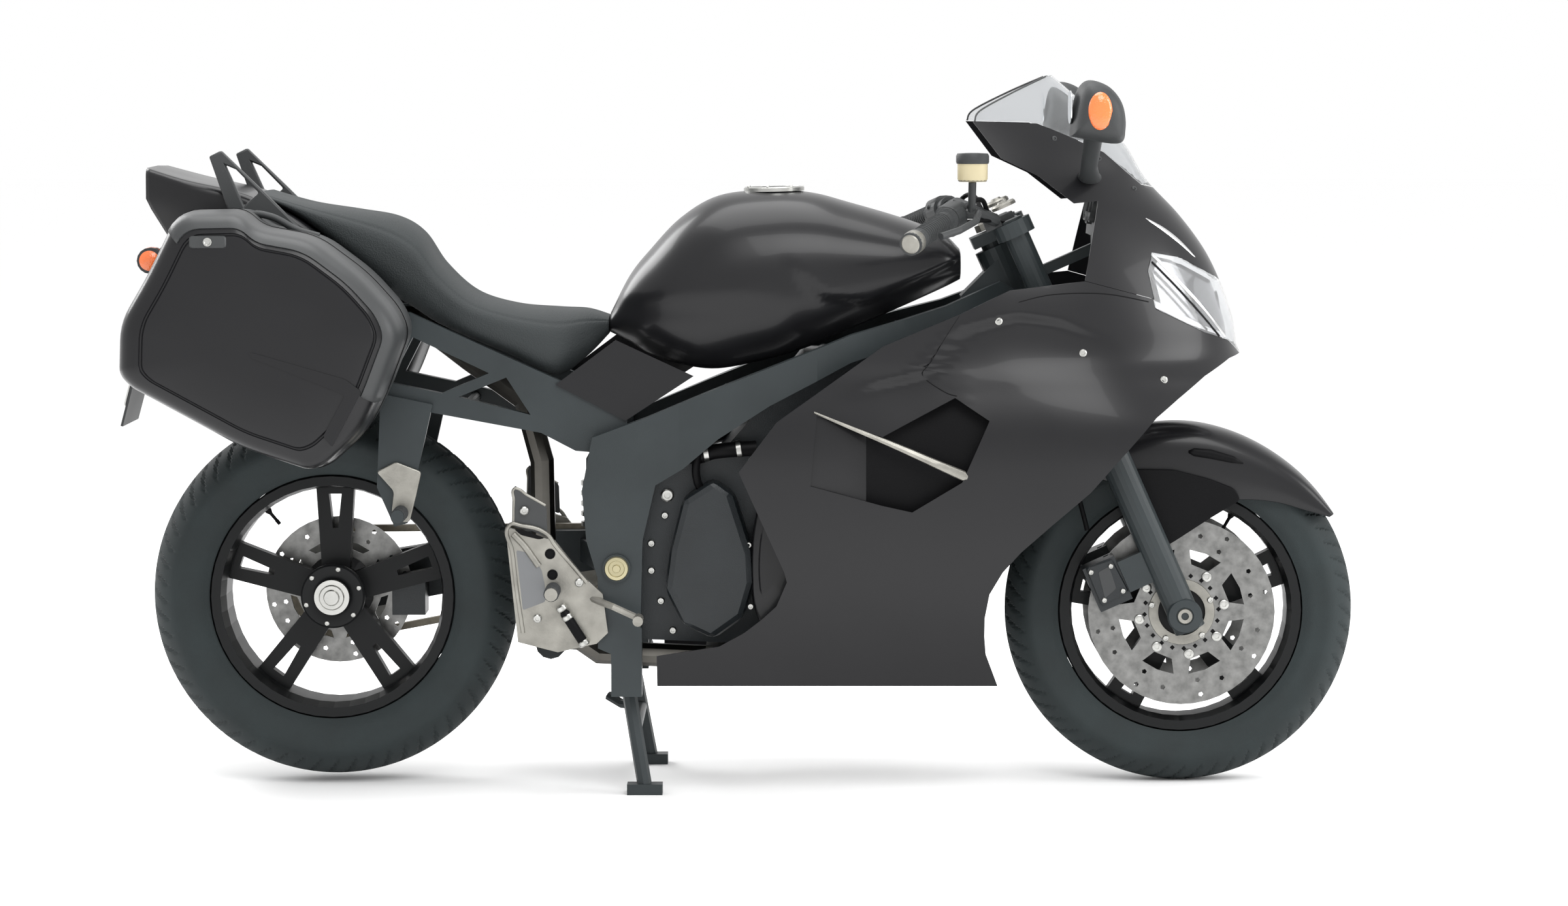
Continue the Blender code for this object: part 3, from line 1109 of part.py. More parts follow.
def rear_caliper():
    near = REAR_HUB_LEFT + SEAT_GAP - DISC_CLEARANCE
    far = REAR_HUB_LEFT + SEAT_GAP + DISC_THICKNESS + DISC_CLEARANCE
    low = Vector((REAR_AXLE.x + REAR_DISC_RADIUS - CALIPER_DEPTH * 0.75, near - CALIPER_JAW,
                  REAR_AXLE.z - CALIPER_LENGTH * 0.55))
    high = Vector((REAR_AXLE.x + REAR_DISC_RADIUS + CALIPER_DEPTH * 0.5, ARM_INNER - SEAT_GAP,
                   REAR_AXLE.z + CALIPER_LENGTH * 0.25))
    body = block(low, high)
    edge = Vector((REAR_AXLE.x + REAR_DISC_RADIUS + DISC_CLEARANCE, 0, 0)).x
    slot = block((low.x - OVERRUN, near, low.z - OVERRUN), (edge, far, high.z + OVERRUN))
    keep(cut(body, [slot]), "rear_caliper", "engine paint")


def shock():
    top = Vector(place(*SHOCK_SHARES[0])).to_3d().xzy
    low = Vector(place(*SHOCK_SHARES[1])).to_3d().xzy
    turn = Vector((0, 0, 1)).rotation_difference(top - low).to_matrix().to_4x4()
    length = (top - low).length
    profile = [(0, length), (SHOCK_RADIUS * 0.55, length), (SHOCK_RADIUS * 0.55, length * 0.86)]
    coils = 5
    for i in range(coils):
        base = length * (0.82 - 0.13 * i)
        profile += [(SHOCK_RADIUS, base), (SHOCK_RADIUS, base - length * 0.06),
                    (SHOCK_RADIUS * 0.7, base - length * 0.08), (SHOCK_RADIUS * 0.7, base - length * 0.11)]
    profile += [(SHOCK_RADIUS * 0.55, length * 0.1), (SHOCK_RADIUS * 0.4, 0), (0, 0)]
    body = turned(profile, (0, 0, 0), steps=12, axis="Z")
    body.data.transform(Matrix.Translation(low) @ turn)
    keep(body, "rear_shock", "steel")


def centre_stand(carrier):
    x, z = place(*STAND_PIVOT_SHARE)
    foot_x = x + STAND_LEAD
    legs = []
    tube_y = STAND_HALF_WIDTH
    for side in (-1, 1):
        foot = Vector((foot_x, side * (tube_y + STAND_SPLAY), STAND_FOOT_HEIGHT))
        legs.append(pipe(STAND_TUBE_RADIUS, [(x, side * tube_y, z), foot], resolution=2))
        legs.append(block(foot - Vector((STAND_FOOT_LENGTH / 2, STAND_TUBE_RADIUS * 1.3,
            STAND_FOOT_HEIGHT)),
                          foot + Vector((STAND_FOOT_LENGTH / 2, STAND_TUBE_RADIUS * 1.3,
                              STAND_TUBE_RADIUS * 0.5))))
    cross = drum(STAND_TUBE_RADIUS, (x, -(PLATE_INNER - SEAT_GAP), z), (x, PLATE_INNER - SEAT_GAP, z))
    brace_share = 0.45
    bx = x + (foot_x - x) * brace_share
    bz = z * (1 - brace_share) + STAND_FOOT_HEIGHT * brace_share
    by = tube_y + STAND_SPLAY * brace_share
    brace = drum(STAND_TUBE_RADIUS * 0.8, (bx, -by, bz), (bx, by, bz))
    tang = pipe(STAND_TUBE_RADIUS * 0.7, [
        (bx, by, bz), (bx - STAND_TANG * 0.6, by + STAND_TUBE_RADIUS * 2, bz),
        (bx - STAND_TANG, by + STAND_TUBE_RADIUS * 3, bz + STAND_TUBE_RADIUS),
    ], resolution=2)
    keep(join([cross, brace, tang] + legs), "centre_stand", "frame paint", carrier)


def side_stand_axis():
    """The hinge line of the side stand and its swing, from the stowed and the standing leg."""
    stowed = Vector(SIDE_STAND_STOWED).normalized()
    standing = Vector(SIDE_STAND_STANDING).normalized()
    return stowed.cross(standing).normalized(), degrees(acos(stowed.dot(standing)))


def side_stand(carrier):
    x, z = place(*SIDE_STAND_SHARE)
    pivot = Vector((x, SIDE_STAND_Y, z))
    along = Vector(SIDE_STAND_STOWED).normalized()
    tip = pivot + along * SIDE_STAND_LENGTH
    leg = drum(STAND_TUBE_RADIUS * 0.8, pivot, tip, steps=12)
    axis, _ = side_stand_axis()
    eye = drum(STAND_TUBE_RADIUS * 1.4, pivot - axis * STAND_TUBE_RADIUS,
        pivot + axis * STAND_TUBE_RADIUS, steps=12)
    foot = drum(STAND_TUBE_RADIUS * 2.2, tip - Vector((0, STAND_TUBE_RADIUS * 0.5, 0)),
                tip + Vector((0, STAND_TUBE_RADIUS * 0.5, 0)), steps=12)
    keep(join([leg, eye, foot]), "side_stand", "frame paint", carrier)


def footrests():
    """The rider's heel guards and pegs, and the pillion's hangers."""
    for side, word in ((-1, "right"), (1, "left")):
        y0 = PLATE_INNER + PLATE_THICKNESS + SEAT_GAP
        plate = slab([outline_of(FOOT_PLATE_SHARES)], side * y0, side * (y0 + BRACKET_THICKNESS))
        peg_x, peg_z = place(*RIDER_PEG_SHARE)
        peg = drum(PEG_RADIUS, (peg_x, side * y0, peg_z),
            (peg_x, side * (y0 + PEG_LENGTH), peg_z), steps=12)
        pedal = [Vector((*place(*share), 0)).xzy for share in PEDAL_SHARES]
        for point in pedal:
            point.y = side * (y0 + PEDAL_OFFSET)
        pedal[0].y = side * (y0 + BRACKET_THICKNESS / 2)
        arm = pipe(LEVER_RADIUS, pedal, resolution=2)
        pad = drum(PEG_RADIUS * 0.8, pedal[-1], pedal[-1] + Vector((0, side * PEG_LENGTH / 2, 0)), steps=12)
        keep(join([plate, peg, arm, pad]), f"foot_bracket_{word}", "alloy")
        out = PLATE_INNER - SEAT_GAP
        hanger = slab([outline_of(HANGER_SHARES)], side * (out + SEAT_GAP * 2),
            side * (out + BRACKET_THICKNESS))
        px, pz = place(*PILLION_PEG_SHARE)
        rest = drum(PEG_RADIUS, (px, side * out + side * SEAT_GAP * 2, pz),
                    (px, side * (out + PEG_LENGTH), pz), steps=12)
        keep(join([hanger, rest]), f"pillion_hanger_{word}", "alloy")


def superellipse_ring(x, top, bottom, half_width, waist_share, square):
    """A closed section across the motorcycle, wider at its waist and rounded above."""
    waist = bottom + (top - bottom) * waist_share
    ring = []
    for degree in (90, 68, 46, 23, 0):
        a = radians(degree)
        ring.append((half_width * cos(a) ** square, waist + (top - waist) * sin(a) ** square))
    ring.append((half_width * 0.93, bottom + (waist - bottom) * 0.25))
    ring.append((half_width * 0.70, bottom))
    left = [(x, y, z) for y, z in ring]
    right = [(x, -y, z) for y, z in reversed(ring[1:])]
    return left + right


def fuel_tank():
    rings = []
    for x_share, top_share, bottom_share, width_share in TANK_SHARES:
        x, top = place(x_share, top_share)
        rings.append(superellipse_ring(x, top, bottom_share * BIKE_HEIGHT, TANK_HALF_WIDTH * width_share,
            0.42, 0.82))
    tank = loft(rings)
    pads = []
    for share in BEAM_SHARES[:2]:
        x, z = place(*share)
        low = (x - OVERRUN, -TANK_PAD_WIDTH, z + SEAT_GAP)
        pads.append(block(low, (x + OVERRUN, TANK_PAD_WIDTH, z + BEAM_DEPTH * 2.2)))
    keep(join([tank] + pads), "fuel_tank", "black paint")


def seat():
    rings = []
    for x_share, top_share, bottom_share, width_share in SEAT_SHARES:
        x, top = place(x_share, top_share)
        bottom = bottom_share * BIKE_HEIGHT
        rail = along_table(sorted(SUBFRAME_LOOP_SHARES[0][:3]), x_share) * BIKE_HEIGHT + SEAT_GAP
        bottom = max(bottom, rail)
        rings.append(superellipse_ring(x, max(top, bottom + OVERRUN / 2), bottom,
            SEAT_HALF_WIDTH * width_share, 0.45, 0.6))
    keep(loft(rings), "seat", "seat cover")


def tail_half_width(x_share):
    return TAIL_INNER * along_table(sorted((s[0], s[3]) for s in TAIL_SHARES), x_share)


def tail():
    rows = []
    for x_share, top_share, low_share, width_share in TAIL_SHARES:
        x, top = place(x_share, top_share)
        top -= TAIL_WALL * 1.3 + SEAT_GAP
        low = low_share * BIKE_HEIGHT
        width = TAIL_INNER * width_share
        corner = TAIL_WALL * 4
        side = [(width, low), (width, (low + top) / 2), (width, top - corner),
            (width - corner * 0.3, top - corner * 0.3),
                (width - corner, top), (width * 0.4, top)]
        rows.append([(x, y, z) for y, z in side] + [(x, -y, z) for y, z in reversed(side)])
    skin = loft(rows, closed_rings=False, capped=False)
    keep(solidified(skin, TAIL_WALL, offset=1), "tail_fairing", "black paint")


def rails_and_panels():
    for side, word in ((-1, "right"), (1, "left")):
        near = side * (TAIL_INNER + TAIL_WALL + SEAT_GAP)
        rail = slab([outline_of(shares) for shares in GRAB_LOOP_SHARES], near, near + side * GRAB_THICKNESS)
        keep(rail, f"grab_rail_{word}", "grey plastic")
        near = side * (PLATE_INNER + SEAT_GAP)
        panel = slab([outline_of(SIDE_PANEL_SHARES)], near, near + side * SIDE_PANEL_THICKNESS)
        keep(panel, f"side_panel_{word}", "black paint")


def tail_light():
    reach = tail_half_width(TAIL_LIGHT_SHARES[0][0]) - 2 * SEAT_GAP
    keep(slab([outline_of(TAIL_LIGHT_SHARES)], -reach, reach), "tail_light", "red lens")


def plate_hanger():
    """The rear mudguard that hangs in the tail and carries the plate and two indicators."""
    rows = []
    for x_share, z_share, width_share in HANGER_PLATE_SHARES:
        x, z = place(x_share, z_share)
        width = (tail_half_width(x_share) - 2 * SEAT_GAP) * width_share
        rows.append([(x, -width, z), (x, -width / 2, z), (x, width / 2, z), (x, width, z)])
    skin = solidified(loft(rows, closed_rings=False, capped=False), TAIL_WALL)
    x, z = place(*INDICATOR_SHARE)
    pods = [drum(INDICATOR_RADIUS / 2, (x, -INDICATOR_FAR + OVERRUN, z),
        (x, INDICATOR_FAR - OVERRUN, z), steps=12)]
    for side in (-1, 1):
        near = (x, side * (INDICATOR_FAR - INDICATOR_LENGTH), z)
        pods.append(drum(INDICATOR_RADIUS, near, (x, side * INDICATOR_FAR, z), steps=16))
    keep(join([skin] + pods), "rear_mudguard", "black plastic")


def cowl_skin():
    """The whole cowl as an open skin: one row for each height, wrapped round the nose."""
    rows = []
    rear_x = MID_X + COWL_REAR_SHARE * WHEELBASE
    for z_share, front_share, width_share in COWL_SHARES:
        front_x, z = place(front_share, z_share)
        half = COWL_HALF_WIDTH * width_share
        side = []
        for back, out in NOSE_CURVE:
            side.append((front_x - COWL_NOSE_LENGTH * back, half * out))
        flank_x = side[-1][0]
        side += [((flank_x + rear_x) / 2, half), (rear_x, half)]
        rows.append([(x, y, z) for x, y in reversed(side)] + [(x, -y, z) for x, y in side[1:]])
    return loft(rows, closed_rings=False, capped=False)


def cowl_piece(loops, low_y, high_y):
    shell = solidified(cowl_skin(), COWL_WALL)
    return combine(shell, [slab(loops, low_y, high_y)], "INTERSECT")


def cowl():
    reach = COWL_HALF_WIDTH * 1.2
    keep(cowl_piece([outline_of(SCREEN_SHARES)], -reach, reach), "windscreen", "screen")
    nose = cowl_piece([outline_of(NOSE_SHARES)], -reach, reach)
    keep(nose, "nose_fairing", "black paint")
    lens = cowl_piece([outline_of(LAMP_SHARES)], -reach, reach)
    housing = slab([outline_of(LAMP_HOUSING_SHARES)], -LAMP_HOUSING_HALF_WIDTH, LAMP_HOUSING_HALF_WIDTH)
    nub = slab([outline_of(LAMP_NUB_SHARES)], -LAMP_NUB_HALF_WIDTH, LAMP_NUB_HALF_WIDTH)
    keep(join([lens, housing, nub]), "headlamp", "clear lens")
    loops = [outline_of(shares) for shares in SIDE_FAIRING_SHARES]
    for side, word in ((-1, "right"), (1, "left")):
        fairing = cowl_piece(loops, SEAT_GAP * side, reach * side)
        x, z = place(*FAIRING_BOSS_SHARE)
        boss = drum(FAIRING_BOSS_RADIUS, (x, side * (spar_outer(x - FAIRING_BOSS_RADIUS) + SEAT_GAP), z),
                    (x, side * (cowl_half_width(x, z) - COWL_WALL / 2), z), steps=12)
        x, z = place(*FAIRING_STAY_SHARE)
        stay = drum(FAIRING_BOSS_RADIUS, (x, side * (ENGINE_HALF_WIDTH + SEAT_GAP), z),
                    (x, side * (cowl_half_width(x, z) - COWL_WALL / 2), z), steps=12)
        keep(join([fairing, boss, stay]), f"side_fairing_{word}", "black paint")


def cowl_half_width(x, z):
    """Half the width of the cowl at a point of the side view."""
    height = z / BIKE_HEIGHT
    front_x = MID_X + WHEELBASE * along_table([(s[0], s[1]) for s in COWL_SHARES], height)
    half = COWL_HALF_WIDTH * along_table([(s[0], s[2]) for s in COWL_SHARES], height)
    return half * along_table(NOSE_CURVE, (front_x - x) / COWL_NOSE_LENGTH)


def cockpit():
    """The stay on the steering head, its crossbar and the instrument panel on it."""
    near = HEAD_OUTER_RADIUS + SEAT_GAP
    stay = block((near, -STAY_HALF_WIDTH, STAY_FOOT), (STAY_LENGTH, STAY_HALF_WIDTH, STAY_TOP))
    stay.data.transform(HEAD_MATRIX)
    low, high = (place(*share) for share in CROSSBAR_SHARES)
    bar = block((low[0], -CROSSBAR_HALF_LENGTH, low[1]), (high[0], CROSSBAR_HALF_LENGTH, high[1]))
    keep(join([stay, bar]), "fairing_stay", "frame paint")
    panel = slab([outline_of(PANEL_SHARES)], -PANEL_HALF_WIDTH, PANEL_HALF_WIDTH)
    keep(panel, "instrument_panel", "black plastic")


def mirrors():
    loop = outline_of(MIRROR_SHARES)
    centre = Vector((sum(x for x, _ in loop) / len(loop), sum(z for _, z in loop) / len(loop)))
    for side, word in ((-1, "right"), (1, "left")):
        rings = []
        for depth_share, scale in ((0, 0.55), (0.12, 0.92), (0.55, 1.0), (0.88, 0.86), (1, 0.5)):
            y = side * (MIRROR_NEAR + (MIRROR_FAR - MIRROR_NEAR) * depth_share)
            rings.append([(centre.x + (x - centre.x) * scale, y,
                centre.y + (z - centre.y) * scale) for x, z in loop])
        shell = loft(rings)
        x, z = place(*MIRROR_FOOT_SHARE)
        rim_points = circle((x, z), MIRROR_STALK_RADIUS, SMALL_STEPS)
        foot_y = max(cowl_half_width(*point) for point in rim_points) + SEAT_GAP
        stalk = pipe(MIRROR_STALK_RADIUS, [
            (x, side * foot_y, z),
            (x, side * (foot_y + MIRROR_STALK_RADIUS), z),
            (centre.x, side * (MIRROR_NEAR + MIRROR_FAR) / 2, centre.y - MIRROR_STALK_RADIUS),
        ])
        keep(join([shell, stalk]), f"mirror_{word}", "black plastic")


def front_mudguard(carrier):
    rows = []
    for degree, gap, drop in MUDGUARD_STATIONS:
        a = radians(degree)
        crown = FRONT_TYRE_RADIUS + gap
        row = []
        for width_share, drop_share in ((-1, 1), (-1, 0.45), (-0.93, 0.22), (-0.7, 0.08), (-0.35, 0.02),
            (0, 0),
                                        (0.35, 0.02), (0.7, 0.08), (0.93, 0.22), (1, 0.45), (1, 1)):
            r = crown - drop * drop_share
            y = MUDGUARD_HALF_WIDTH * width_share
            row.append((FRONT_AXLE.x + r * cos(a), y, FRONT_AXLE.z + r * sin(a)))
        rows.append(row)
    skin = solidified(loft(rows, closed_rings=False, capped=False), MUDGUARD_WALL)
    bosses = []
    for side in (-1, 1):
        far = on_head(FORK_OFFSET, side * (FORK_HALF_SPACING - SLIDER_RADIUS - SEAT_GAP),
                      MUDGUARD_BOSS_HEIGHT - AXLE_DROP)
        near = Vector((far.x, side * (MUDGUARD_HALF_WIDTH - MUDGUARD_WALL / 2), far.z))
        bosses.append(drum(MUDGUARD_BOSS_RADIUS, near, far, steps=12))
    keep(join([skin] + bosses), "front_mudguard", "black paint", carrier)


def scaled_outline(loop, centre, scale):
    return [(centre[0] + (x - centre[0]) * scale, centre[1] + (z - centre[1]) * scale) for x, z in loop]


def pannier(side, word, carrier):
    """A hollow case on the grab rail and its hollow lid, hinged along the lower edge."""
    loop = outline_of(PANNIER_SHARES)
    centre = (sum(x for x, _ in loop) / len(loop), sum(z for _, z in loop) / len(loop))

    def ring(y, scale):
        return [(x, side * y, z) for x, z in scaled_outline(loop, centre, scale)]

    case = [ring(PANNIER_INNER, 0.80), ring(PANNIER_INNER, 0.93), ring(PANNIER_INNER + OVERRUN, 0.985),
            ring(PANNIER_SPLIT - SEAT_GAP, 1.0)]
    lid = [ring(PANNIER_SPLIT + SEAT_GAP, 1.0), ring(PANNIER_OUTER - 3 * OVERRUN, 0.965),
           ring(PANNIER_OUTER - OVERRUN, 0.90), ring(PANNIER_OUTER, 0.78)]
    for rings, name, rider in ((case, "pannier_case", None), (lid, "pannier_lid", carrier)):
        bm = bmesh.new()
        rows = [[bm.verts.new(point) for point in row] for row in rings]
        count = len(loop)
        for row, following in zip(rows, rows[1:]):
            for i in range(count):
                bm.faces.new((row[i], row[(i + 1) % count], following[(i + 1) % count], following[i]))
        bm.faces.new(rows[0] if rider is None else rows[-1])
        shell = solidified(from_bmesh(name, bm), PANNIER_WALL)
        keep(shell, f"{name}_{word}", "black paint", rider)


def main():
    for obj in list(bpy.context.scene.objects):
        bpy.data.objects.remove(obj)
    parts = bpy.data.collections.new("motorcycle")
    bpy.context.scene.collection.children.link(parts)
    steering = empty("steering_axis", HEAD_MATRIX)
    front = empty("front_wheel_axis", Matrix.Translation(FRONT_AXLE))
    front.parent = steering
    front.matrix_parent_inverse = steering.matrix_world.inverted()
    rear = empty("rear_wheel_axis", Matrix.Translation(REAR_AXLE))
    stand = empty("centre_stand_axis", Matrix.Translation(Vector((*place(*STAND_PIVOT_SHARE), 0)).xzy))
    stand_x, stand_z = place(*SIDE_STAND_SHARE)
    prop = empty("side_stand_axis", Matrix.Translation((stand_x, SIDE_STAND_Y, stand_z)))
    bpy.context.view_layer.update()
    front_wheel(front)
    disc_near = FRONT_HUB_HALF_LENGTH + SEAT_GAP
    disc("front_disc_left", FRONT_AXLE, disc_near, FRONT_DISC_RADIUS, FRONT_DISC_BORE, FRONT_DISC_BAND,
        front)
    disc("front_disc_right", FRONT_AXLE, -disc_near - DISC_THICKNESS, FRONT_DISC_RADIUS, FRONT_DISC_BORE,
         FRONT_DISC_BAND, front)
    rear_wheel(rear)
    disc("rear_disc", REAR_AXLE, REAR_HUB_LEFT + SEAT_GAP, REAR_DISC_RADIUS, REAR_DISC_BORE,
         FRONT_DISC_BAND * 0.8, rear)
    rear_drive(rear)
    fork(steering)
    handlebars(steering)
    front_mudguard(steering)
    main_frame()
    engine()
    radiator()
    exhaust()
    silencer()
    subframe()
    swingarm()
    rear_caliper()
    shock()
    centre_stand(stand)
    side_stand(prop)
    footrests()
    fuel_tank()
    seat()
    tail()
    rails_and_panels()
    tail_light()
    plate_hanger()
    cowl()
    cockpit()
    mirrors()
    hinge = (place(*LID_HINGE_SHARES[0]), place(*LID_HINGE_SHARES[1]))
    for side, word in ((-1, "right"), (1, "left")):
        middle = ((hinge[0][0] + hinge[1][0]) / 2, side * PANNIER_SPLIT, (hinge[0][1] + hinge[1][1]) / 2)
        pannier(side, word, empty(f"pannier_hinge_{word}", Matrix.Translation(middle)))


main()
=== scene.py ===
"""Looks of a sport touring motorcycle: materials, small pieces, studio and camera."""

from math import atan2, cos, pi, radians, sin

import bmesh
import bpy
from mathutils import Matrix, Vector


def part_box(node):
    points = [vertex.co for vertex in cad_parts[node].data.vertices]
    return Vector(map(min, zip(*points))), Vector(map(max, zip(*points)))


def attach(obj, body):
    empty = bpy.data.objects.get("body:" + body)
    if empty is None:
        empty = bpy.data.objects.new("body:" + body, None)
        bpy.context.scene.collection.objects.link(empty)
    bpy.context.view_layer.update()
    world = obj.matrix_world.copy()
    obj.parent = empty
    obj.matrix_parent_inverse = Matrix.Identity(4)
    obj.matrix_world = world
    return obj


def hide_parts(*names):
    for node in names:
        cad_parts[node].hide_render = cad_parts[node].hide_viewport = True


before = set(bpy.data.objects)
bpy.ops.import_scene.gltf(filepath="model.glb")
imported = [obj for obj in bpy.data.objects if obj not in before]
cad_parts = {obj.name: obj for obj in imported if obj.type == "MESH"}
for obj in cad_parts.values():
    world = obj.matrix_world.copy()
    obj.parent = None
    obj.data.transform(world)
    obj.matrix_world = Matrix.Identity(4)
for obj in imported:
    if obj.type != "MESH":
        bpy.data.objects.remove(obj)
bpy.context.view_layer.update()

# driving sizes, as in the part's source: metres, X forward, Y to the left, Z up from the ground
WHEELBASE = 1.457
HEIGHT = 1.218
MID_X = 0.02875
FRONT_RADIUS = 0.300
REAR_RADIUS = 0.3145
FRONT_AXLE = Vector((0.75725, 0, 0.300))
REAR_AXLE = Vector((-0.69975, 0, 0.326))
RAKE = radians(24)
HEAD_MATRIX = Matrix.Translation((0.46213, 0, 0.865)) @ Matrix.Rotation(-RAKE, 4, "Y")
HEAD_UP = HEAD_MATRIX.to_3x3() @ Vector((0, 0, 1))
FORK_OFFSET = 0.0398
FORK_HALF = 0.108
UP = Vector((0, 0, 1))
SIDES = ((-1, "right"), (1, "left"))


def place(x_share, z_share):
    """A point of the side view from its shares of the wheelbase and the height."""
    return MID_X + x_share * WHEELBASE, z_share * HEIGHT


def places(shares):
    return [place(*share) for share in shares]


# ---------------------------------------------------------------- materials

def finish_of(name, colour, rough, metal=0.0, spot=0.0, spot_scale=8.0, bump=0.0, bump_scale=300.0,
              coat=0.0, voronoi=False, clear=0.0, ior=1.5, shine=0.5):
    """A procedural finish: colour and roughness that vary a little, and a fine surface grain."""
    material = bpy.data.materials.new(name)
    material.use_nodes = True
    nodes = material.node_tree.nodes
    links = material.node_tree.links
    shader = nodes["Principled BSDF"]
    for socket, value in (("Metallic", metal), ("IOR", ior), ("Specular IOR Level", shine),
                          ("Coat Weight", coat), ("Coat Roughness", 0.06),
                          ("Transmission Weight", clear)):
        shader.inputs[socket].default_value = value
    surface = nodes.new("ShaderNodeTexCoord").outputs["Object"]
    cloud = nodes.new("ShaderNodeTexNoise")
    cloud.inputs["Scale"].default_value = spot_scale
    cloud.inputs["Detail"].default_value = 5
    links.new(surface, cloud.inputs["Vector"])
    ramp = nodes.new("ShaderNodeValToRGB")
    for element, position, share in zip(ramp.color_ramp.elements, (0.3, 0.7), (1 - spot, 1 + spot)):
        element.position = position
        element.color = (*[min(1, channel * share) for channel in colour], 1)
    links.new(cloud.outputs["Fac"], ramp.inputs["Fac"])
    links.new(ramp.outputs["Color"], shader.inputs["Base Color"])
    rough_range = nodes.new("ShaderNodeMapRange")
    rough_range.inputs["To Min"].default_value = max(0.02, rough * 0.85)
    rough_range.inputs["To Max"].default_value = min(1, rough * 1.15)
    links.new(cloud.outputs["Fac"], rough_range.inputs["Value"])
    links.new(rough_range.outputs["Result"], shader.inputs["Roughness"])
    if bump:
        grain = nodes.new("ShaderNodeTexVoronoi" if voronoi else "ShaderNodeTexNoise")
        grain.inputs["Scale"].default_value = bump_scale
        links.new(surface, grain.inputs["Vector"])
        relief = nodes.new("ShaderNodeBump")
        relief.inputs["Strength"].default_value = bump
        relief.inputs["Distance"].default_value = 0.001
        links.new(grain.outputs["Distance" if voronoi else "Fac"], relief.inputs["Height"])
        links.new(relief.outputs["Normal"], shader.inputs["Normal"])
    return material


PAINT = finish_of("black_paint", (0.0075, 0.0075, 0.0085), 0.30, coat=0.10, shine=0.26, spot=0.06)
FRAME = finish_of("frame_paint", (0.024, 0.030, 0.032), 0.42, metal=0.05, shine=0.30, spot=0.14,
                  bump=0.15, bump_scale=900)
ENGINE = finish_of("engine_paint", (0.011, 0.014, 0.016), 0.38, metal=0.25, spot=0.25, bump=0.35,
                   bump_scale=500)
WHEEL = finish_of("wheel_paint", (0.0055, 0.0060, 0.0064), 0.40, spot=0.1, coat=0.04, shine=0.16)
RUBBER = finish_of("tyre_rubber", (0.017, 0.023, 0.024), 0.72, shine=0.30, spot=0.18, spot_scale=14,
                   bump=0.3, bump_scale=700)
GRIP = finish_of("grip_rubber", (0.020, 0.022, 0.023), 0.75, spot=0.1, bump=0.6, bump_scale=350,
                 voronoi=True)
SEAT = finish_of("seat_vinyl", (0.022, 0.026, 0.027), 0.66, shine=0.32, spot=0.12, bump=0.55,
                 bump_scale=420, voronoi=True)
PLASTIC = finish_of("black_plastic", (0.020, 0.022, 0.023), 0.55, spot=0.12, bump=0.35, bump_scale=650)
TRIM = finish_of("grey_trim", (0.034, 0.036, 0.037), 0.42, shine=0.38, spot=0.10, bump=0.15,
                 bump_scale=800)
STEEL = finish_of("brushed_steel", (0.46, 0.46, 0.44), 0.30, metal=1.0, spot=0.10, spot_scale=30,
                  bump=0.08)
DISC = finish_of("disc_steel", (0.18, 0.18, 0.175), 0.34, metal=0.9, spot=0.32, spot_scale=55, bump=0.12)
ALLOY = finish_of("cast_alloy", (0.28, 0.272, 0.245), 0.42, metal=0.85, spot=0.24, spot_scale=25,
                  bump=0.3)
CHROME = finish_of("chrome", (0.72, 0.72, 0.72), 0.10, metal=1.0, spot=0.03)
EXHAUST = finish_of("exhaust_steel", (0.11, 0.105, 0.095), 0.34, metal=1.0, spot=0.30, spot_scale=9)
CHAIN = finish_of("chain_steel", (0.22, 0.20, 0.16), 0.40, metal=0.9, spot=0.25, spot_scale=60)
LENS = finish_of("clear_lens", (0.93, 0.94, 0.95), 0.05, clear=0.92, spot=0.01, ior=1.25)
REFLECTOR = finish_of("reflector", (0.24, 0.24, 0.245), 0.20, metal=0.9, spot=0.10)
RED = finish_of("red_lens", (0.42, 0.012, 0.012), 0.12, spot=0.1, coat=0.6, bump=0.5, bump_scale=260,
                voronoi=True)
WEB = finish_of("bracket_web", (0.16, 0.165, 0.17), 0.42, metal=0.5, bump=0.15, bump_scale=600)
AMBER = finish_of("amber_lens", (0.74, 0.155, 0.035), 0.16, spot=0.15, coat=0.6, bump=0.5, bump_scale=300,
                  voronoi=True)
SCREEN = finish_of("screen", (0.76, 0.77, 0.78), 0.04, clear=0.94, spot=0.01, ior=1.15)
BEIGE = finish_of("fluid_pot", (0.55, 0.48, 0.30), 0.35, spot=0.12, clear=0.15)
BRASS = finish_of("pivot_brass", (0.42, 0.38, 0.24), 0.36, metal=0.8, spot=0.1)
# near black: the own colour of hoses, seals, valves and dial faces, and also painted shade in holes, slots
# and behind the vent
DARK = finish_of("shadow_black", (0.003, 0.003, 0.0035), 0.50, spot=0.1, bump=0.2, shine=0.10)
PLATE = finish_of("blank_plate", (0.60, 0.60, 0.58), 0.40, spot=0.04, bump=0.1)
MIRROR = finish_of("mirror_glass", (0.82, 0.84, 0.85), 0.03, metal=1.0, spot=0.01)

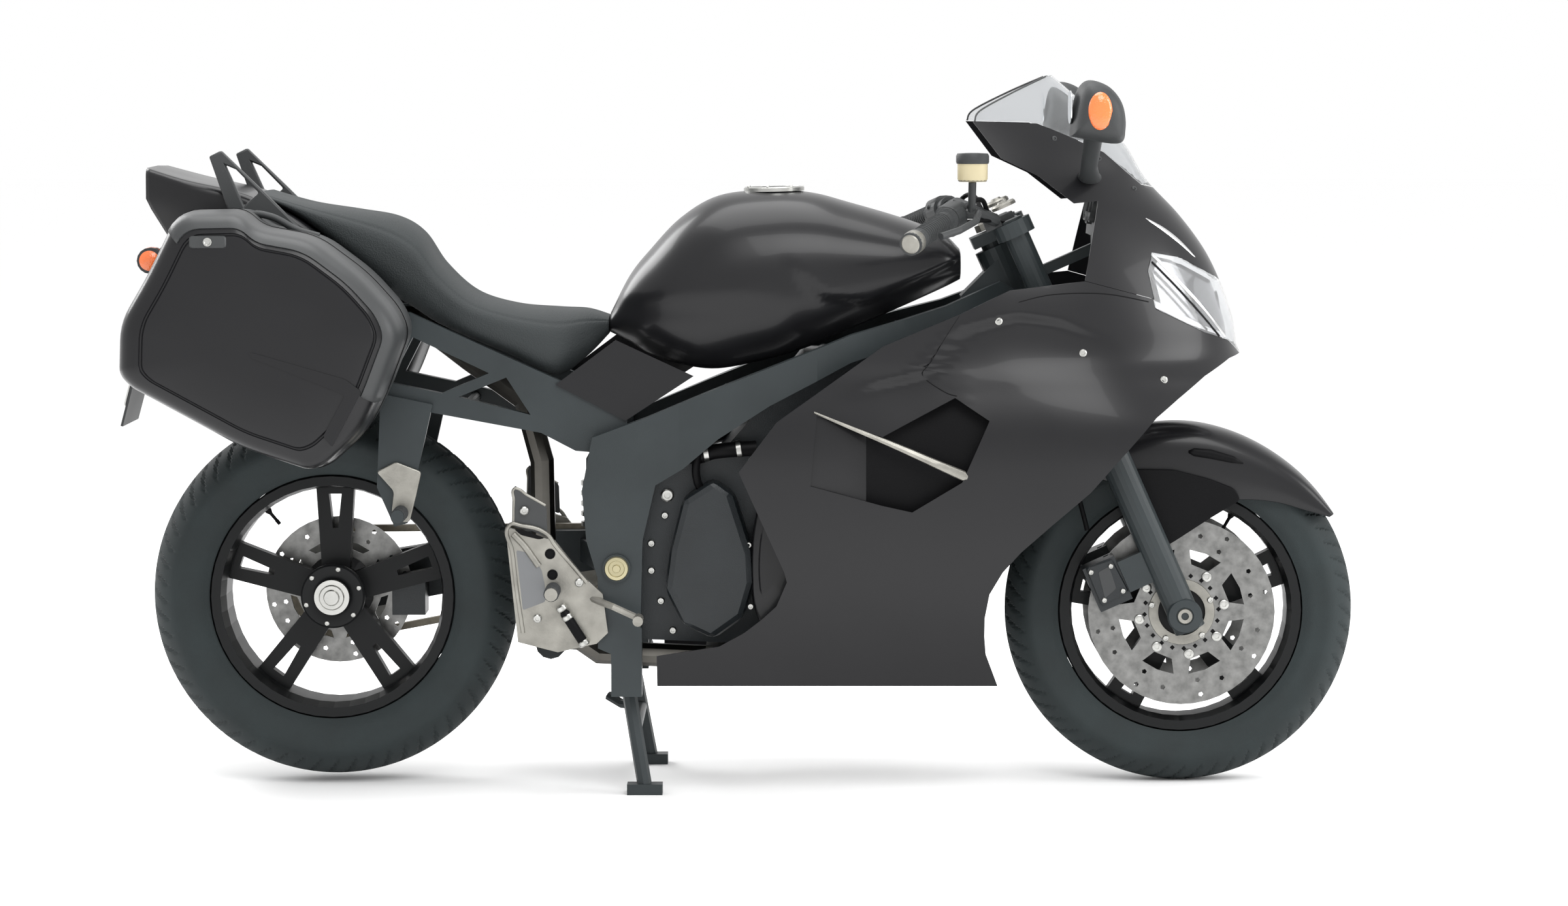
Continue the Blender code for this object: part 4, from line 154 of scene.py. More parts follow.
NODE_FINISHES = {
    PAINT: "fuel_tank nose_fairing side_fairing_left side_fairing_right tail_fairing front_mudguard "
           "side_panel_left side_panel_right pannier_case_left pannier_case_right pannier_lid_left "
           "pannier_lid_right",
    FRAME: "main_frame rear_subframe swingarm fork_yokes fork_slider_left fork_slider_right centre_stand "
           "side_stand fairing_stay pillion_hanger_left pillion_hanger_right",
    ENGINE: "engine front_caliper_left front_caliper_right rear_caliper",
    WHEEL: "front_wheel rear_wheel",
    RUBBER: "front_tyre rear_tyre",
    GRIP: "grip_left grip_right",
    SEAT: "seat",
    DISC: "front_disc_left front_disc_right rear_disc",
    STEEL: "rear_axle front_axle silencer rear_shock",
    CHAIN: "drive_chain",
    EXHAUST: "exhaust_pipes",
    ALLOY: "foot_bracket_left foot_bracket_right",
    PLASTIC: "radiator rear_mudguard instrument_panel mirror_left mirror_right handlebar_left "
             "handlebar_right brake_lever clutch_lever",
    TRIM: "grab_rail_left grab_rail_right",
    LENS: "headlamp",
    RED: "tail_light",
    SCREEN: "windscreen",
}
BEVELLED = {
    0.0015: "fork_yokes foot_bracket_left foot_bracket_right pillion_hanger_left pillion_hanger_right "
            "rear_mudguard",
    0.002: "rear_subframe front_wheel rear_wheel fork_slider_left fork_slider_right",
    0.003: "main_frame engine front_caliper_left front_caliper_right rear_caliper grab_rail_left "
           "grab_rail_right",
    0.004: "swingarm instrument_panel",
}
BEVEL_WIDTHS = {name: width for width, names in BEVELLED.items() for name in names.split()}


def bevel_edges(obj, width):
    modifier = obj.modifiers.new("Bevel", "BEVEL")
    modifier.width = width
    modifier.segments = 2
    modifier.limit_method = "ANGLE"
    return modifier


def dress_nodes():
    """Each CAD node gets its finish, smooth shading and, where it is listed, softened edges."""
    for material, names in NODE_FINISHES.items():
        for name in names.split():
            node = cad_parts[name]
            node.data.materials.clear()
            node.data.materials.append(material)
            node.data.shade_smooth()
            node.data.set_sharp_from_angle(angle=radians(32))
            if name in BEVEL_WIDTHS:
                bevel_edges(node, BEVEL_WIDTHS[name]).angle_limit = radians(40)


# ------------------------------------------------------------------- pieces

def linked(name, data):
    obj = bpy.data.objects.new(name, data)
    bpy.context.scene.collection.objects.link(obj)
    return obj


def mesh_from(shape, name):
    """A mesh from a bmesh, with its faces turned outward."""
    mesh = bpy.data.meshes.new(name)
    bmesh.ops.recalc_face_normals(shape, faces=shape.faces[:])
    shape.to_mesh(mesh)
    shape.free()
    return mesh


def piece(name, shape, material, body, bevel=0.0, angle=32):
    """A named piece from a bmesh, finished and riding on its body."""
    mesh = mesh_from(shape, name)
    mesh.materials.append(material)
    mesh.shade_smooth()
    mesh.set_sharp_from_angle(angle=radians(angle))
    obj = linked(name, mesh)
    if bevel:
        bevel_edges(obj, bevel)
    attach(obj, body)
    return obj


def give_wall(obj, thickness):
    modifier = obj.modifiers.new("Solidify", "SOLIDIFY")
    modifier.thickness = thickness
    return modifier


def loft(rings, closed=True, caps=True):
    bm = bmesh.new()
    rows = [[bm.verts.new(point) for point in ring] for ring in rings]
    count = len(rings[0])
    for row, following in zip(rows, rows[1:]):
        for i in range(count if closed else count - 1):
            j = (i + 1) % count
            bm.faces.new((row[i], row[j], following[j], following[i]))
    if caps:
        bm.faces.new(rows[0])
        bm.faces.new(rows[-1])
    return bm


def sheet(rows):
    """An open skin through rows of points."""
    return loft(rows, closed=False, caps=False)


def lathe(profile, centre, axis=(0, 1, 0), steps=32, into=None):
    """A turned shape; profile points are (radius, along the axis), from one end to the other."""
    bm = into or bmesh.new()
    turn = UP.rotation_difference(Vector(axis)).to_matrix().to_4x4()
    matrix = Matrix.Translation(centre) @ turn
    rows = []
    for radius, along in profile:
        if radius < 1e-6:
            rows.append([bm.verts.new(matrix @ Vector((0, 0, along)))])
            continue
        turns = [2 * pi * i / steps for i in range(steps)]
        rows.append([bm.verts.new(matrix @ Vector((radius * cos(a), radius * sin(a), along)))
                     for a in turns])
    for row, following in zip(rows, rows[1:]):
        for i in range(steps):
            j = (i + 1) % steps
            corners = [row[i % len(row)], row[j % len(row)], following[j % len(following)],
                       following[i % len(following)]]
            corners = list(dict.fromkeys(corners))
            if len(corners) > 2:
                bm.faces.new(corners)
    return bm


def turned(name, profile, centre, axis, steps, material, body):
    return piece(name, lathe(profile, centre, axis, steps), material, body)


def outward(shares, y, side):
    """Spots of the side view at a distance from the middle, with the direction away from it."""
    return [(Vector((x, side * y, z)), Vector((0, side, 0))) for x, z in places(shares)]


def bolts(name, spots, radius, height, material, body):
    """Round-headed socket bolts in one piece: spots are (centre, axis)."""
    bm = bmesh.new()
    profile = [
        (0, height * 0.35), (radius * 0.42, height * 0.35), (radius * 0.46, height * 0.98),
        (radius * 0.75, height), (radius * 0.95, height * 0.7), (radius, 0), (radius, -height * 0.3),
        (0, -height * 0.3),
    ]
    for centre, axis in spots:
        lathe(profile, centre, axis, 24, bm)
    return piece(name, bm, material, body)


def tube(name, points, radius, material, body, resolution=4):
    """A bent tube or hose through its points."""
    curve = bpy.data.curves.new(name, "CURVE")
    curve.dimensions = "3D"
    curve.bevel_depth = radius
    curve.bevel_resolution = resolution
    curve.resolution_u = 8
    curve.use_fill_caps = True
    spline = curve.splines.new("BEZIER")
    spline.bezier_points.add(len(points) - 1)
    for target, point in zip(spline.bezier_points, points):
        target.co = point
        target.handle_left_type = "AUTO"
        target.handle_right_type = "AUTO"
    curve.materials.append(material)
    obj = linked(name, curve)
    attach(obj, body)
    return obj


def rounded_loop(points, radius, steps=5):
    """A closed outline with each corner rounded."""
    result = []
    count = len(points)
    for i, corner in enumerate(points):
        here = Vector(corner)
        before, after = Vector(points[i - 1]), Vector(points[(i + 1) % count])
        cut = min(radius, (before - here).length * 0.45, (after - here).length * 0.45)
        start = here + (before - here).normalized() * cut
        end = here + (after - here).normalized() * cut
        for step in range(steps + 1):
            t = step / steps
            result.append(tuple(start * (1 - t) ** 2 + here * 2 * t * (1 - t) + end * t ** 2))
    return result


def prism(loop, near, far):
    """A flat outline of the side view between two values of Y."""
    return loft([[(x, y, z) for x, z in loop] for y in (near, far)])


def middle_of(loop):
    return sum(x for x, _ in loop) / len(loop), sum(z for _, z in loop) / len(loop)


def scaled(loop, centre, y, scale):
    """An outline of the side view at one value of Y, grown or shrunk about its centre."""
    return [(centre[0] + (x - centre[0]) * scale, y, centre[1] + (z - centre[1]) * scale)
            for x, z in loop]


def stepped(loop, centre, side, steps):
    """Rings of one outline at the distances and scales given in steps."""
    return [scaled(loop, centre, side * y, scale) for y, scale in steps]


def sign(value):
    return 1 if value > 0 else -1


def oval(width, height, a, power=1.0):
    """A point of a rounded box, or of an ellipse at power 1, at the angle a."""
    return width * abs(cos(a)) ** power * sign(cos(a)), height * abs(sin(a)) ** power * sign(sin(a))


def around(count):
    return [2 * pi * i / count for i in range(count)]


dress_nodes()


# ---------------------------------------------------------------- bodywork

def eased(rows, steps):
    """Rows of numbers with smooth rows between them."""
    result = []
    last = len(rows) - 1
    for i in range(last):
        before, after = rows[max(i - 1, 0)], rows[min(i + 2, last)]
        for step in range(steps):
            t = step / steps
            result.append(tuple(
                0.5 * (2 * b + (c - a) * t + (2 * a - 5 * b + 4 * c - d) * t * t
                       + (3 * b - a - 3 * c + d) * t ** 3)
                for a, b, c, d in zip(before, rows[i], rows[i + 1], after)
            ))
    result.append(tuple(rows[-1]))
    return result


def eased_loop(loop, steps):
    return eased([*loop, loop[0]], steps)[:-1]


def along_table(table, x):
    """The value at x of a table of (x, value), with straight lines between its rows."""
    table = sorted(table)
    if x <= table[0][0]:
        return table[0][1]
    for (x0, v0), (x1, v1) in zip(table, table[1:]):
        if x <= x1:
            return v0 + (v1 - v0) * (x - x0) / (x1 - x0)
    return table[-1][1]


def soft_step(value, low, high):
    t = min(1, max(0, (value - low) / (high - low)))
    return t * t * (3 - 2 * t)


def section(x, top, bottom, half_width, waist_share, power, lower=0.70):
    """A closed section across the motorcycle, wide at its waist and rounded above and below."""
    steps = 26
    waist = bottom + (top - bottom) * waist_share
    ring = []
    for i in range(steps + 1):
        a = radians(90 - 90 * i / steps)
        ring.append((half_width * cos(a) ** power, waist + (top - waist) * sin(a) ** power))
    for i in range(1, steps // 2 + 1):
        t = i / (steps // 2)
        ring.append((half_width * (1 - (1 - lower) * t ** 2.2), waist + (bottom - waist) * t ** 0.85))
    left = [(x, y, z) for y, z in ring]
    right = [(x, -y, z) for y, z in reversed(ring[1:])]
    return left + right


# rows of (share along, top share, bottom share, share of the half width)
TANK_TABLE = [
    (-0.172, 0.668, 0.640, 0.45), (-0.150, 0.719, 0.628, 0.62), (-0.126, 0.755, 0.612, 0.78),
    (-0.090, 0.800, 0.598, 0.93), (-0.045, 0.831, 0.592, 1.0), (0.015, 0.839, 0.606, 1.0),
    (0.065, 0.835, 0.624, 0.97), (0.110, 0.821, 0.647, 0.92), (0.170, 0.800, 0.678, 0.84),
    (0.217, 0.779, 0.703, 0.74), (0.238, 0.757, 0.715, 0.62),
]
TANK_HALF = 0.166
KNEE_EDGE = [(-0.10, 0.640), (0.03, 0.752), (0.075, 0.700), (0.13, 0.690), (0.24, 0.752)]
KNEE_DEPTH = 0.010
FILLER_SHARE = (0.020, 0.8405)
FILLER_BOLT_RING = 0.048


def tank():
    """The tank's shell, pressed in below the knee edge, and its filler."""
    rings = []
    for x_share, top_share, bottom_share, width_share in eased(TANK_TABLE, 7):
        x, top = place(x_share, top_share)
        edge = along_table(KNEE_EDGE, x_share)
        ring = []
        for px, py, pz in section(x, top, bottom_share * HEIGHT, TANK_HALF * width_share, 0.42, 0.82):
            depth = soft_step(edge - pz / HEIGHT, 0, 0.010) * soft_step(x_share, 0.02, 0.07)
            depth += 0.7 * soft_step(0.700 - pz / HEIGHT, 0, 0.03) * (1 - soft_step(x_share, -0.02, 0.04))
            if abs(py) > 0.05:
                py -= KNEE_DEPTH * depth * sign(py)
            ring.append((px, py, pz))
        rings.append(ring)
    shell = piece("tank_shell", loft(rings), PAINT, "chassis", angle=60)
    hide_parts("fuel_tank")
    x, z = place(*FILLER_SHARE)
    axis = Vector((-0.02, 0, 1)).normalized()
    turned("filler_rim", [(0.030, -0.004), (0.052, -0.004), (0.052, 0.002), (0.049, 0.004),
                          (0.045, 0.0042), (0.043, 0.002), (0.030, 0.002)], (x, 0, z), axis, 64, STEEL,
           "chassis")
    turned("filler_lid", [(0, 0.0045), (0.020, 0.0045), (0.024, 0.0035), (0.040, 0.0035), (0.0425, 0.001),
                          (0.0425, -0.003), (0, -0.003)], (x, 0, z), axis, 64, PLASTIC, "chassis")
    spots = [((x + FILLER_BOLT_RING * cos(a), FILLER_BOLT_RING * sin(a), z + 0.003), axis)
             for a in around(7)]
    bolts("filler_bolts", spots, 0.003, 0.0022, STEEL, "chassis")


# rows of (share up, share along of the front edge, share of the half width)
COWL_TABLE = [
    (0.148, 0.620, 0.70), (0.205, 0.640, 0.83), (0.270, 0.650, 0.93), (0.345, 0.650, 0.98),
    (0.430, 0.652, 1.0), (0.510, 0.650, 1.0), (0.575, 0.600, 0.96), (0.612, 0.570, 0.93),
    (0.657, 0.562, 0.90), (0.706, 0.548, 0.87), (0.755, 0.528, 0.82), (0.805, 0.497, 0.77),
    (0.855, 0.458, 0.71), (0.905, 0.432, 0.64), (0.955, 0.390, 0.57), (1.000, 0.347, 0.50),
]
COWL_ROWS = eased(COWL_TABLE, 11)
COWL_HALF = 0.285
COWL_REAR_SHARE = -0.160
NOSE_LENGTH = 0.450
SCOOP_LINE = [
    (0.10, 0.560), (0.1425, 0.584), (0.1886, 0.596), (0.2345, 0.656), (0.297, 0.676), (0.345, 0.668),
    (0.393, 0.646), (0.46, 0.600),
]
SCOOP_DEPTH = 0.011


def scoop(x, z):
    """How far the flank is pressed in below the crease over the vent."""
    share = (x - MID_X) / WHEELBASE
    under = along_table(SCOOP_LINE, share) - z / HEIGHT
    fade = soft_step(share, 0.09, 0.17) * (1 - soft_step(share, 0.30, 0.43))
    return SCOOP_DEPTH * soft_step(under, 0, 0.012) * (1 - soft_step(under, 0.03, 0.17)) * fade


def cowl_half(x, z):
    """Half the width of the cowl at a point of the side view."""
    share = z / HEIGHT
    front_x = MID_X + WHEELBASE * along_table([(row[0], row[1]) for row in COWL_ROWS], share)
    half = COWL_HALF * along_table([(row[0], row[2]) for row in COWL_ROWS], share)
    back = max(0, min(1, (front_x - x) / NOSE_LENGTH))
    return half * (1 - (1 - back) ** 2) ** 0.5 - scoop(x, z)


def cowl_skin(inset=0.0):
    """The cowl as one open skin, wrapped round the nose."""
    rear_x = MID_X + COWL_REAR_SHARE * WHEELBASE
    rows = []
    for z_share, front_share, width_share in COWL_ROWS:
        front_x, z = place(front_share, z_share)
        front_x -= inset
        half = COWL_HALF * width_share - inset
        turns = [radians(degree) for degree in range(0, 91, 2)]
        side = [(front_x - NOSE_LENGTH * (1 - cos(a)), half * sin(a)) for a in turns]
        flank = side[-1][0]
        side += [(flank + (rear_x - flank) * i / 32, half) for i in range(1, 33)]
        side = [(x, y - min(y, scoop(x, z))) for x, y in side]
        rows.append([(x, y, z) for x, y in reversed(side)] + [(x, -y, z) for x, y in side[1:]])
    return sheet(rows)


def plain_object(shape, name):
    return linked(name, mesh_from(shape, name))


def carved(base, cuts):
    """The shape that the base has after its modifiers and (helper, operation) cuts; all helpers go."""
    for helper, operation in cuts:
        modifier = base.modifiers.new("Boolean", "BOOLEAN")
        modifier.operation = operation
        modifier.object = helper
        modifier.solver = "EXACT"
    result = bmesh.new()
    depsgraph = bpy.context.evaluated_depsgraph_get()
    result.from_mesh(bpy.data.meshes.new_from_object(base.evaluated_get(depsgraph)))
    for obj in [*(helper for helper, _ in cuts), base]:
        bpy.data.objects.remove(obj, do_unlink=True)
    return result


COWL_REACH = 0.34


def trimmed(skin, outline, near=-COWL_REACH, far=COWL_REACH, holes=(), wall=0.004):
    """The part of a skin, given its wall, that lies inside an outline of the side view."""
    base = plain_object(skin, "trim_base")
    give_wall(base, wall).offset = -1
    cuts = [(plain_object(prism(places(outline), near, far), "trim_outline"), "INTERSECT")]
    for hole in holes:
        cuts.append((plain_object(prism(places(hole), near - 0.1, far + 0.1), "trim_hole"), "DIFFERENCE"))
    return carved(base, cuts)


VENT_OUTLINE = [
    (0.069, 0.536), (0.144, 0.507), (0.227, 0.560), (0.266, 0.529), (0.235, 0.445), (0.178, 0.404),
    (0.144, 0.413), (0.062, 0.440),
]
VENT_WALL_OUTLINE = [(0.050, 0.550), (0.144, 0.522), (0.235, 0.575), (0.280, 0.535), (0.245, 0.435),
                     (0.180, 0.392), (0.135, 0.400), (0.045, 0.430)]
VENT_RAMP_OUTLINE = [(0.064, 0.543), (0.150, 0.514), (0.160, 0.440), (0.150, 0.405), (0.057, 0.434)]
STRAKE_LINE = [(0.066, 0.541), (0.110, 0.519), (0.160, 0.494), (0.210, 0.468), (0.241, 0.452)]
SIDE_OUTLINE = [
    (0.023, 0.527), (0.145, 0.630), (0.232, 0.673), (0.290, 0.706), (0.377, 0.7174), (0.4577, 0.6914),
    (0.4603, 0.6775), (0.5197, 0.6434), (0.5516, 0.6304), (0.5684, 0.6105), (0.552, 0.606),
    (0.518, 0.585), (0.484, 0.556), (0.458, 0.532), (0.430, 0.495), (0.408, 0.466), (0.382, 0.431),
    (0.339, 0.387), (0.303, 0.349), (0.282, 0.321), (0.267, 0.290), (0.262, 0.256), (0.262, 0.230),
    (0.264, 0.204), (0.279, 0.156), (-0.115, 0.156), (-0.115, 0.201), (-0.043, 0.215), (-0.014, 0.235),
    (0.006, 0.254), (0.023, 0.273), (0.035, 0.307), (0.032, 0.321), (-0.020, 0.459),
]
NOSE_OUTLINE = [
    (0.250, 0.935), (0.325, 0.933), (0.360, 0.916), (0.404, 0.893), (0.450, 0.847), (0.560, 0.8185),
    (0.620, 0.700), (0.545, 0.7127), (0.537, 0.7197), (0.494, 0.7467), (0.4574, 0.7548), (0.4514, 0.730),
    (0.458, 0.692), (0.377, 0.718), (0.395, 0.826), (0.366, 0.823), (0.325, 0.861), (0.282, 0.885),
]
SCREEN_OUTLINE = [
    (0.250, 0.936), (0.259, 0.951), (0.298, 0.976), (0.338, 0.998), (0.360, 1.010), (0.480, 0.930),
    (0.560, 0.820), (0.450, 0.848), (0.404, 0.894), (0.360, 0.917), (0.325, 0.934),
]
LAMP_OUTLINE = [
    (0.458, 0.754), (0.494, 0.746), (0.537, 0.719), (0.545, 0.712), (0.600, 0.690), (0.600, 0.600),
    (0.569, 0.611), (0.552, 0.631), (0.520, 0.644), (0.461, 0.678), (0.452, 0.730),
]
BOWL_OUTLINE = [
    (0.466, 0.744), (0.494, 0.737), (0.535, 0.711), (0.600, 0.680), (0.600, 0.610), (0.569, 0.619),
    (0.552, 0.637), (0.520, 0.652), (0.468, 0.684), (0.459, 0.728),
]


def on_cowl(share, side, out=0.0):
    x, z = place(*share)
    return Vector((x, side * (cowl_half(x, z) + out), z))


def strip_on_cowl(name, line, widths, out, material, side):
    """A raised strip laid on the cowl's flank along a line of the side view."""
    rows = []
    for (x, z), width in zip(places(line), widths):
        row = []
        for across, lift in ((-1, -0.002), (-0.8, 0.6 * out), (0, out), (0.8, 0.6 * out), (1, -0.002)):
            pz = z + across * width / 2
            row.append((x + across * width * 0.15, side * (cowl_half(x, pz) + lift), pz))
        rows.append(row)
    return piece(name, loft(rows), material, "chassis")


def vent_ramp(side):
    """The flank's skin falling away inward, from the vent's rear edge forward."""
    rows = []
    for i in range(25):
        x_share = 0.052 + 0.112 * i / 24
        depth = 0.0045 + 0.042 * soft_step(x_share, 0.060, 0.175)
        line = [place(x_share, 0.395 + 0.180 * k / 24) for k in range(25)]
        rows.append([(x, side * (cowl_half(x, z) - depth), z) for x, z in line])
    return sheet(rows)


def cowling():
    """The fairing's shells, screen, lamp lens and vents, all cut from the one cowl skin."""
    nose = piece("nose_shell", trimmed(cowl_skin(), NOSE_OUTLINE), PAINT, "chassis",
                 angle=40)
    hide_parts("nose_fairing")
    clear = piece("screen_shell", trimmed(cowl_skin(), SCREEN_OUTLINE, wall=0.003), SCREEN, "chassis",
                  angle=40)
    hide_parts("windscreen")
    lens = piece("lamp_lens", trimmed(cowl_skin(), LAMP_OUTLINE, wall=0.002), LENS, "chassis",
                 angle=40)
    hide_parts("headlamp")
    piece("lamp_bowl", trimmed(cowl_skin(0.016), BOWL_OUTLINE, wall=0.002), REFLECTOR, "chassis",
          angle=40)
    for side, word in SIDES:
        low, high = sorted((side * 0.0003, side * COWL_REACH))
        shell = piece(f"side_shell_{word}", trimmed(cowl_skin(), SIDE_OUTLINE, low, high, [VENT_OUTLINE]),
                      PAINT, "chassis", angle=40)
        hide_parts(f"side_fairing_{word}")
        low, high = sorted((side * 0.02, side * COWL_REACH))
        # a near-black wall set 30 mm in behind the vent: painted shade standing for the dark inside of the
        # vent
        wall = trimmed(cowl_skin(0.030), VENT_WALL_OUTLINE, low, high, wall=0.003)
        piece(f"vent_shade_wall_{word}", wall, DARK, "chassis", angle=40)
        ramp = trimmed(vent_ramp(side), VENT_RAMP_OUTLINE, low, high, wall=0.002)
        piece(f"vent_ramp_{word}", ramp, PAINT, "chassis", angle=50)
        line = eased(STRAKE_LINE, 5)
        widths = [0.003 + 0.013 * min(1, i / 18) for i in range(len(line) - 1)] + [0.006]
        strip_on_cowl(f"side_strake_{word}", line, widths, 0.004, ALLOY, side)
        spots = [(on_cowl(share, side), Vector((0, side, 0)))
                 for share in ((0.277, 0.664), (0.374, 0.620), (0.468, 0.582))]
        bolts(f"cowl_bolts_{word}", spots, 0.0065, 0.003, STEEL, "chassis")


# name, line, steps between its points, width, height, finish, slot
COWL_LINES = (
    ("flank_gap", [(0.232, 0.6715), (0.215, 0.640), (0.200, 0.610), (0.190, 0.590), (0.215, 0.568),
                   (0.229, 0.5625)], 5, 0.0022, 0.0006, DARK, None),
    ("nose_gap", [(0.452, 0.688), (0.400, 0.700), (0.340, 0.700), (0.300, 0.690)], 5, 0.0022, 0.0006, DARK,
     None),
    ("brow_light", [(0.452, 0.8015), (0.472, 0.787), (0.493, 0.768), (0.512, 0.7465)], 6, None, 0.0015,
     CHROME, "lamp_lens"),
    ("lamp_divider", [(0.4585, 0.751), (0.490, 0.714), (0.520, 0.676), (0.548, 0.636)], 6, 0.0055, 0.0012,
     CHROME, None),
    ("lamp_shade", [(0.4570, 0.742), (0.487, 0.706), (0.516, 0.669), (0.540, 0.636)], 6, 0.0045, 0.0010, DARK,
     None),
)

# degrees round the front axle, with half the slot's width there
GUARD_SLOT = ((88, 0.002), (86, 0.007), (80, 0.008), (72, 0.006), (68, 0.001))
GUARD_SLOT_RADIUS = FRONT_RADIUS + 0.022 - 0.046
GUARD_SLOT_SIDE = 0.0757


def cowl_lines():
    """Panel gaps on the flanks, the strips on the lamp and a dark strip painted as the shade in the front
    mudguard's slot.
    """
    for side, word in SIDES:
        for name, shares, steps, width, out, finish, slot in COWL_LINES:
            line = eased(shares, steps)
            widths = [width or 0.0015 + 0.0055 * sin(pi * i / (len(line) - 1)) for i in range(len(line))]
            strip_on_cowl(f"{name}_{word}", line, widths, out, finish, side)
        # a thin dark strip on the mudguard's side: painted shade where its slot is
        rows = []
        for degree, width in GUARD_SLOT:
            a = radians(degree)
            radii = [GUARD_SLOT_RADIUS + across * width for across in (-1, 0, 1)]
            rows.append([(FRONT_AXLE.x + r * cos(a), side * GUARD_SLOT_SIDE, FRONT_AXLE.z + r * sin(a))
                         for r in radii])
        slot = piece(f"guard_slot_shade_{word}", sheet(rows), DARK, "steering")
        give_wall(slot, 0.0015)


def screen_rim():
    """The dark edge of the clear screen, and its small fixing bolts."""
    for side, word in SIDES:
        edge = eased([(0.252, 0.9365), (0.259, 0.951), (0.298, 0.976), (0.338, 0.998)], 5)
        points = [on_cowl(share, side, -0.001) for share in edge]
        tube(f"screen_edge_{word}", points, 0.0016, TRIM, "chassis", resolution=2)
        spots = [(on_cowl(share, side), Vector((0.4, side, 0)).normalized())
                 for share in ((0.345, 0.912), (0.398, 0.884), (0.440, 0.842))]
        bolts(f"screen_bolts_{word}", spots, 0.0045, 0.002, TRIM, "chassis")


# distance left of the middle, place, radius
LAMPS = ((0.0, (0.545, 0.672), 0.030), (-0.085, (0.515, 0.690), 0.036), (0.085, (0.515, 0.690), 0.036))


def lamp_units():
    """Three round reflectors with bulbs behind the lens, as this kind of nose has."""
    for number, (y, share, radius) in enumerate(LAMPS):
        x, z = place(*share)
        axis = Vector((1, 0.25 * (y > 0) - 0.25 * (y < 0), 0.12)).normalized()
        profile = [(radius * 1.04, 0), (radius, 0), (radius * 0.86, -0.010), (radius * 0.6, -0.020),
                   (radius * 0.3, -0.027), (0, -0.029)]
        piece(f"lamp_reflector_{number}", lathe(profile, (x, y, z), axis, 40), REFLECTOR, "chassis")
        bulb = [(0, 0.002), (0.005, 0.0), (0.007, -0.006), (0.006, -0.022), (0, -0.026)]
        piece(f"lamp_bulb_{number}", lathe(bulb, (x, y, z), axis, 20), CHROME, "chassis")


SEAT_TABLE = [
    (-0.579, 0.838, 0.833, 0.80), (-0.527, 0.822, 0.800, 0.86), (-0.471, 0.812, 0.748, 0.90),
    (-0.425, 0.802, 0.699, 0.92), (-0.395, 0.780, 0.675, 0.93), (-0.370, 0.736, 0.656, 0.95),
    (-0.333, 0.696, 0.636, 1.0), (-0.285, 0.678, 0.612, 1.0), (-0.234, 0.673, 0.584, 0.94),
    (-0.200, 0.671, 0.607, 0.72), (-0.1738, 0.662, 0.638, 0.46),
]
SEAT_HALF = 0.156
SEAT_SEAM_LEVEL = 0.80


def seat_pad():
    """The rider's and pillion's seat in one pad, with a sewn seam round its upper edge."""
    rings = []
    for x_share, top_share, bottom_share, width_share in eased(SEAT_TABLE, 9):
        x, top = place(x_share, top_share)
        bottom = bottom_share * HEIGHT
        top = max(top, bottom + 0.006)
        ring = []
        for px, py, pz in section(x, top, bottom, SEAT_HALF * width_share, 0.45, 0.62, 0.86):
            groove = max(0, 1 - abs((pz - bottom) / (top - bottom) - SEAT_SEAM_LEVEL) / 0.035)
            ring.append((px, py - 0.0022 * groove * sign(py), pz - 0.0012 * groove))
        rings.append(ring)
    pad = piece("seat_pad", loft(rings), SEAT, "chassis", angle=60)
    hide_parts("seat")


TAIL_TABLE = [
    (-0.430, 0.702, 0.672, 1.0), (-0.471, 0.7475, 0.690, 1.0), (-0.527, 0.7995, 0.715, 1.0),
    (-0.579, 0.8325, 0.745, 1.0), (-0.611, 0.845, 0.760, 1.0), (-0.660, 0.858, 0.766, 1.0),
    (-0.707, 0.874, 0.770, 0.84),
]
TAIL_HALF = 0.1645
TAIL_EDGE = 0.016
TAIL_SLANT_TOP = 1.006
TAIL_SLANT = 0.62
TAIL_SLANT_START = -0.620
TAIL_SLANT_RUN = 0.087


def tail_cover():
    """The tail's open shell; its rear edge slants forward below the lamp."""
    rows = []
    for x_share, top_share, low_share, width_share in eased(TAIL_TABLE, 6):
        x, top = place(x_share, top_share)
        top -= 0.003
        low = low_share * HEIGHT
        width = TAIL_HALF * width_share + 0.002
        side = [(width - 0.002 * i / 6, low + (top - TAIL_EDGE - low) * i / 6) for i in range(6)]
        for i in range(9):
            a = radians(90 * i / 8)
            side.append((width - 0.018 + TAIL_EDGE * cos(a), top - TAIL_EDGE + TAIL_EDGE * sin(a)))
        side += [((width - 0.018) * share, top + 0.002 * (1 - share)) for share in (0.75, 0.5, 0.25, 0.0)]
        lean = TAIL_SLANT * max(0, (TAIL_SLANT_START - x_share) / TAIL_SLANT_RUN)
        side = [(x + lean * max(0, TAIL_SLANT_TOP - z), y, z) for y, z in side]
        rows.append(side + [(x, -y, z) for x, y, z in reversed(side[:-1])])
    cover = piece("tail_cover", sheet(rows), PAINT, "chassis", angle=50)
    give_wall(cover, 0.004)
    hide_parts("tail_fairing")


# rows of (degrees round the axle, gap to the tyre, how far the sides come down)
MUDGUARD_TABLE = [
    (33, 0.012, 0.012), (40, 0.013, 0.040), (48, 0.014, 0.062), (57, 0.015, 0.085), (66, 0.017, 0.105),
    (76, 0.020, 0.115), (86, 0.023, 0.120), (96, 0.024, 0.118), (106, 0.024, 0.110), (116, 0.024, 0.080),
    (124, 0.024, 0.045),
]
MUDGUARD_HALF = 0.074
MUDGUARD_CROWN = 0.62


